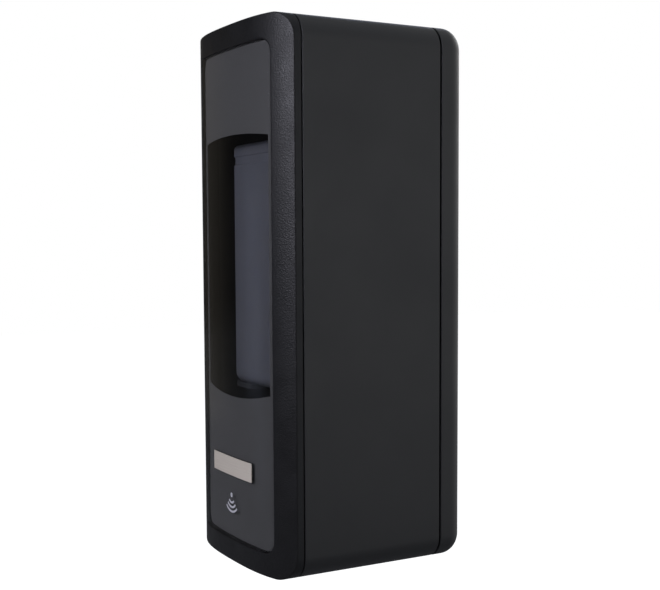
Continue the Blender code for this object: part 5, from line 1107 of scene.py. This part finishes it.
floor_paint, tree, shader, space = start_material("pale_floor", "#848484", 0.9)
floor_axes = add_node(tree, "SeparateXYZ", Vector=space)
seen = seen_share(tree, spread(tree, floor_axes.outputs["Y"], 0.1, 0.8, 0.0, 0.5))
glow = add_node(tree, "Emission", Color=linear("#ffffff"), Strength=FLOOR_GLOW)
lit = add_node(tree, "AddShader", _0=shader.outputs[0], _1=glow.outputs[0])
choose = add_node(tree, "MixShader", _0=seen, _1=shader.outputs[0], _2=lit.outputs[0])
tree.links.new(choose.outputs[0], tree.nodes["Material Output"].inputs["Surface"])
floor_mesh = bpy.data.meshes.new("floor")
floor_mesh.from_pydata([(x * FLOOR_REACH, y * FLOOR_REACH, FLOOR_Z)
                        for x, y in ((-1, -1), (1, -1), (1, 1), (-1, 1))], [], [(0, 1, 2, 3)])
floor_mesh.materials.append(floor_paint)
floor = link("floor", floor_mesh)
print("floor below the case in mm:", round((-HALF_HEIGHT - FLOOR_Z) / MM, 1))

# %% [markdown]
# ## The world
# The world is white to the camera. Its light is dim in front, brighter toward the top
# and the right, and pale where a wall and a backdrop would stand behind the object: the
# long soft reflections on the case come from these.

# %% Light the world
BACKDROP_DIRECTION = (-0.845, 0.468, 0.259)
world = bpy.data.worlds.new("studio")
bpy.context.scene.world = world
world.use_nodes = True
tree = world.node_tree
back_light = tree.nodes["Background"]
back_light.inputs["Color"].default_value = linear("#e8ecf2")
direction = add_node(tree, "TexCoord").outputs["Generated"]
sky = add_node(tree, "SeparateXYZ", Vector=direction).outputs
rise = spread(tree, sky["Z"], -0.15, 0.6, 0.01, 0.30)
across = spread(tree, sky["X"], -0.9, 0.5, 0.2, 1.15)
nearness = add_node(tree, "VectorMath", {"operation": "DOT_PRODUCT"}, _0=direction,
                    _1=BACKDROP_DIRECTION).outputs["Value"]
wall = spread(tree, sky["Y"], 0.45, 1.0, 0.0, 1.0)
backdrop = spread(tree, nearness, 0.94, 0.985, 0.0, 1.0)
pale = math_node(tree, "MAXIMUM", wall, backdrop)
strength = math_node(tree, "MAXIMUM", math_node(tree, "MULTIPLY", rise, across), pale)
tree.links.new(strength, back_light.inputs["Strength"])
white = add_node(tree, "Background", Color=linear("#ffffff"), Strength=1.0)
choose = add_node(tree, "MixShader", _0=seen_share(tree, pale), _1=back_light.outputs[0],
                  _2=white.outputs[0])
tree.links.new(choose.outputs[0], tree.nodes["World Output"].inputs["Surface"])
print("nodes in the world:", len(tree.nodes))

# %% [markdown]
# ## The lamps
# A black object is lit by what it reflects, so each lamp is a soft rectangle placed for
# one sheen: high in front, at the panel's edges, from the left, on the right side, on
# top, and from behind for the rim.

# %% Place the lamps
LAMPS = [  # name, azimuth, elevation, distance, width, height, watts, colour
    ("front_high", 10, 19, 0.70, 0.30, 0.20, 3.0, "#f0f0ff"),
    ("edge_sheen", -44, -2, 0.95, 0.24, 0.28, 0.085, "#cdd8f5"),
    ("corner_sheen", -37, -15, 0.80, 0.14, 0.12, 0.012, "#cdd8f5"),
    ("left_fill", -75, 0, 1.3, 0.6, 0.9, 0.22, "#fff4dc"),
    ("right_side", 100, 3, 1.5, 0.8, 0.8, 3.2, "#ffffff"),
    ("overhead", 60, 78, 1.2, 0.5, 0.5, 1.3, "#ffffff"),
    ("top_rim", 241, 30, 1.4, 1.0, 0.5, 2.6, "#c8d8ff"),
    ("rear", 205, 25, 1.5, 0.9, 0.7, 6.0, "#ffffff"),
]


def soft_light(name, azimuth, elevation, distance, width, height, watts, colour):
    """An area light that faces the object from an azimuth, an elevation and a distance."""
    spot = toward(math.radians(azimuth), math.radians(elevation)) * distance
    lamp = bpy.data.lights.new(name, "AREA")
    lamp.shape = "RECTANGLE"
    lamp.size, lamp.size_y = width, height
    lamp.energy = watts
    lamp.color = linear(colour)[:3]
    holder = link(name, lamp)
    holder.location = spot
    holder.rotation_euler = (-spot).to_track_quat("-Z", "Y").to_euler()


for lamp_values in LAMPS:
    soft_light(*lamp_values)
bpy.context.scene.view_settings.view_transform = "Standard"
print("lights:", len(bpy.data.lights))
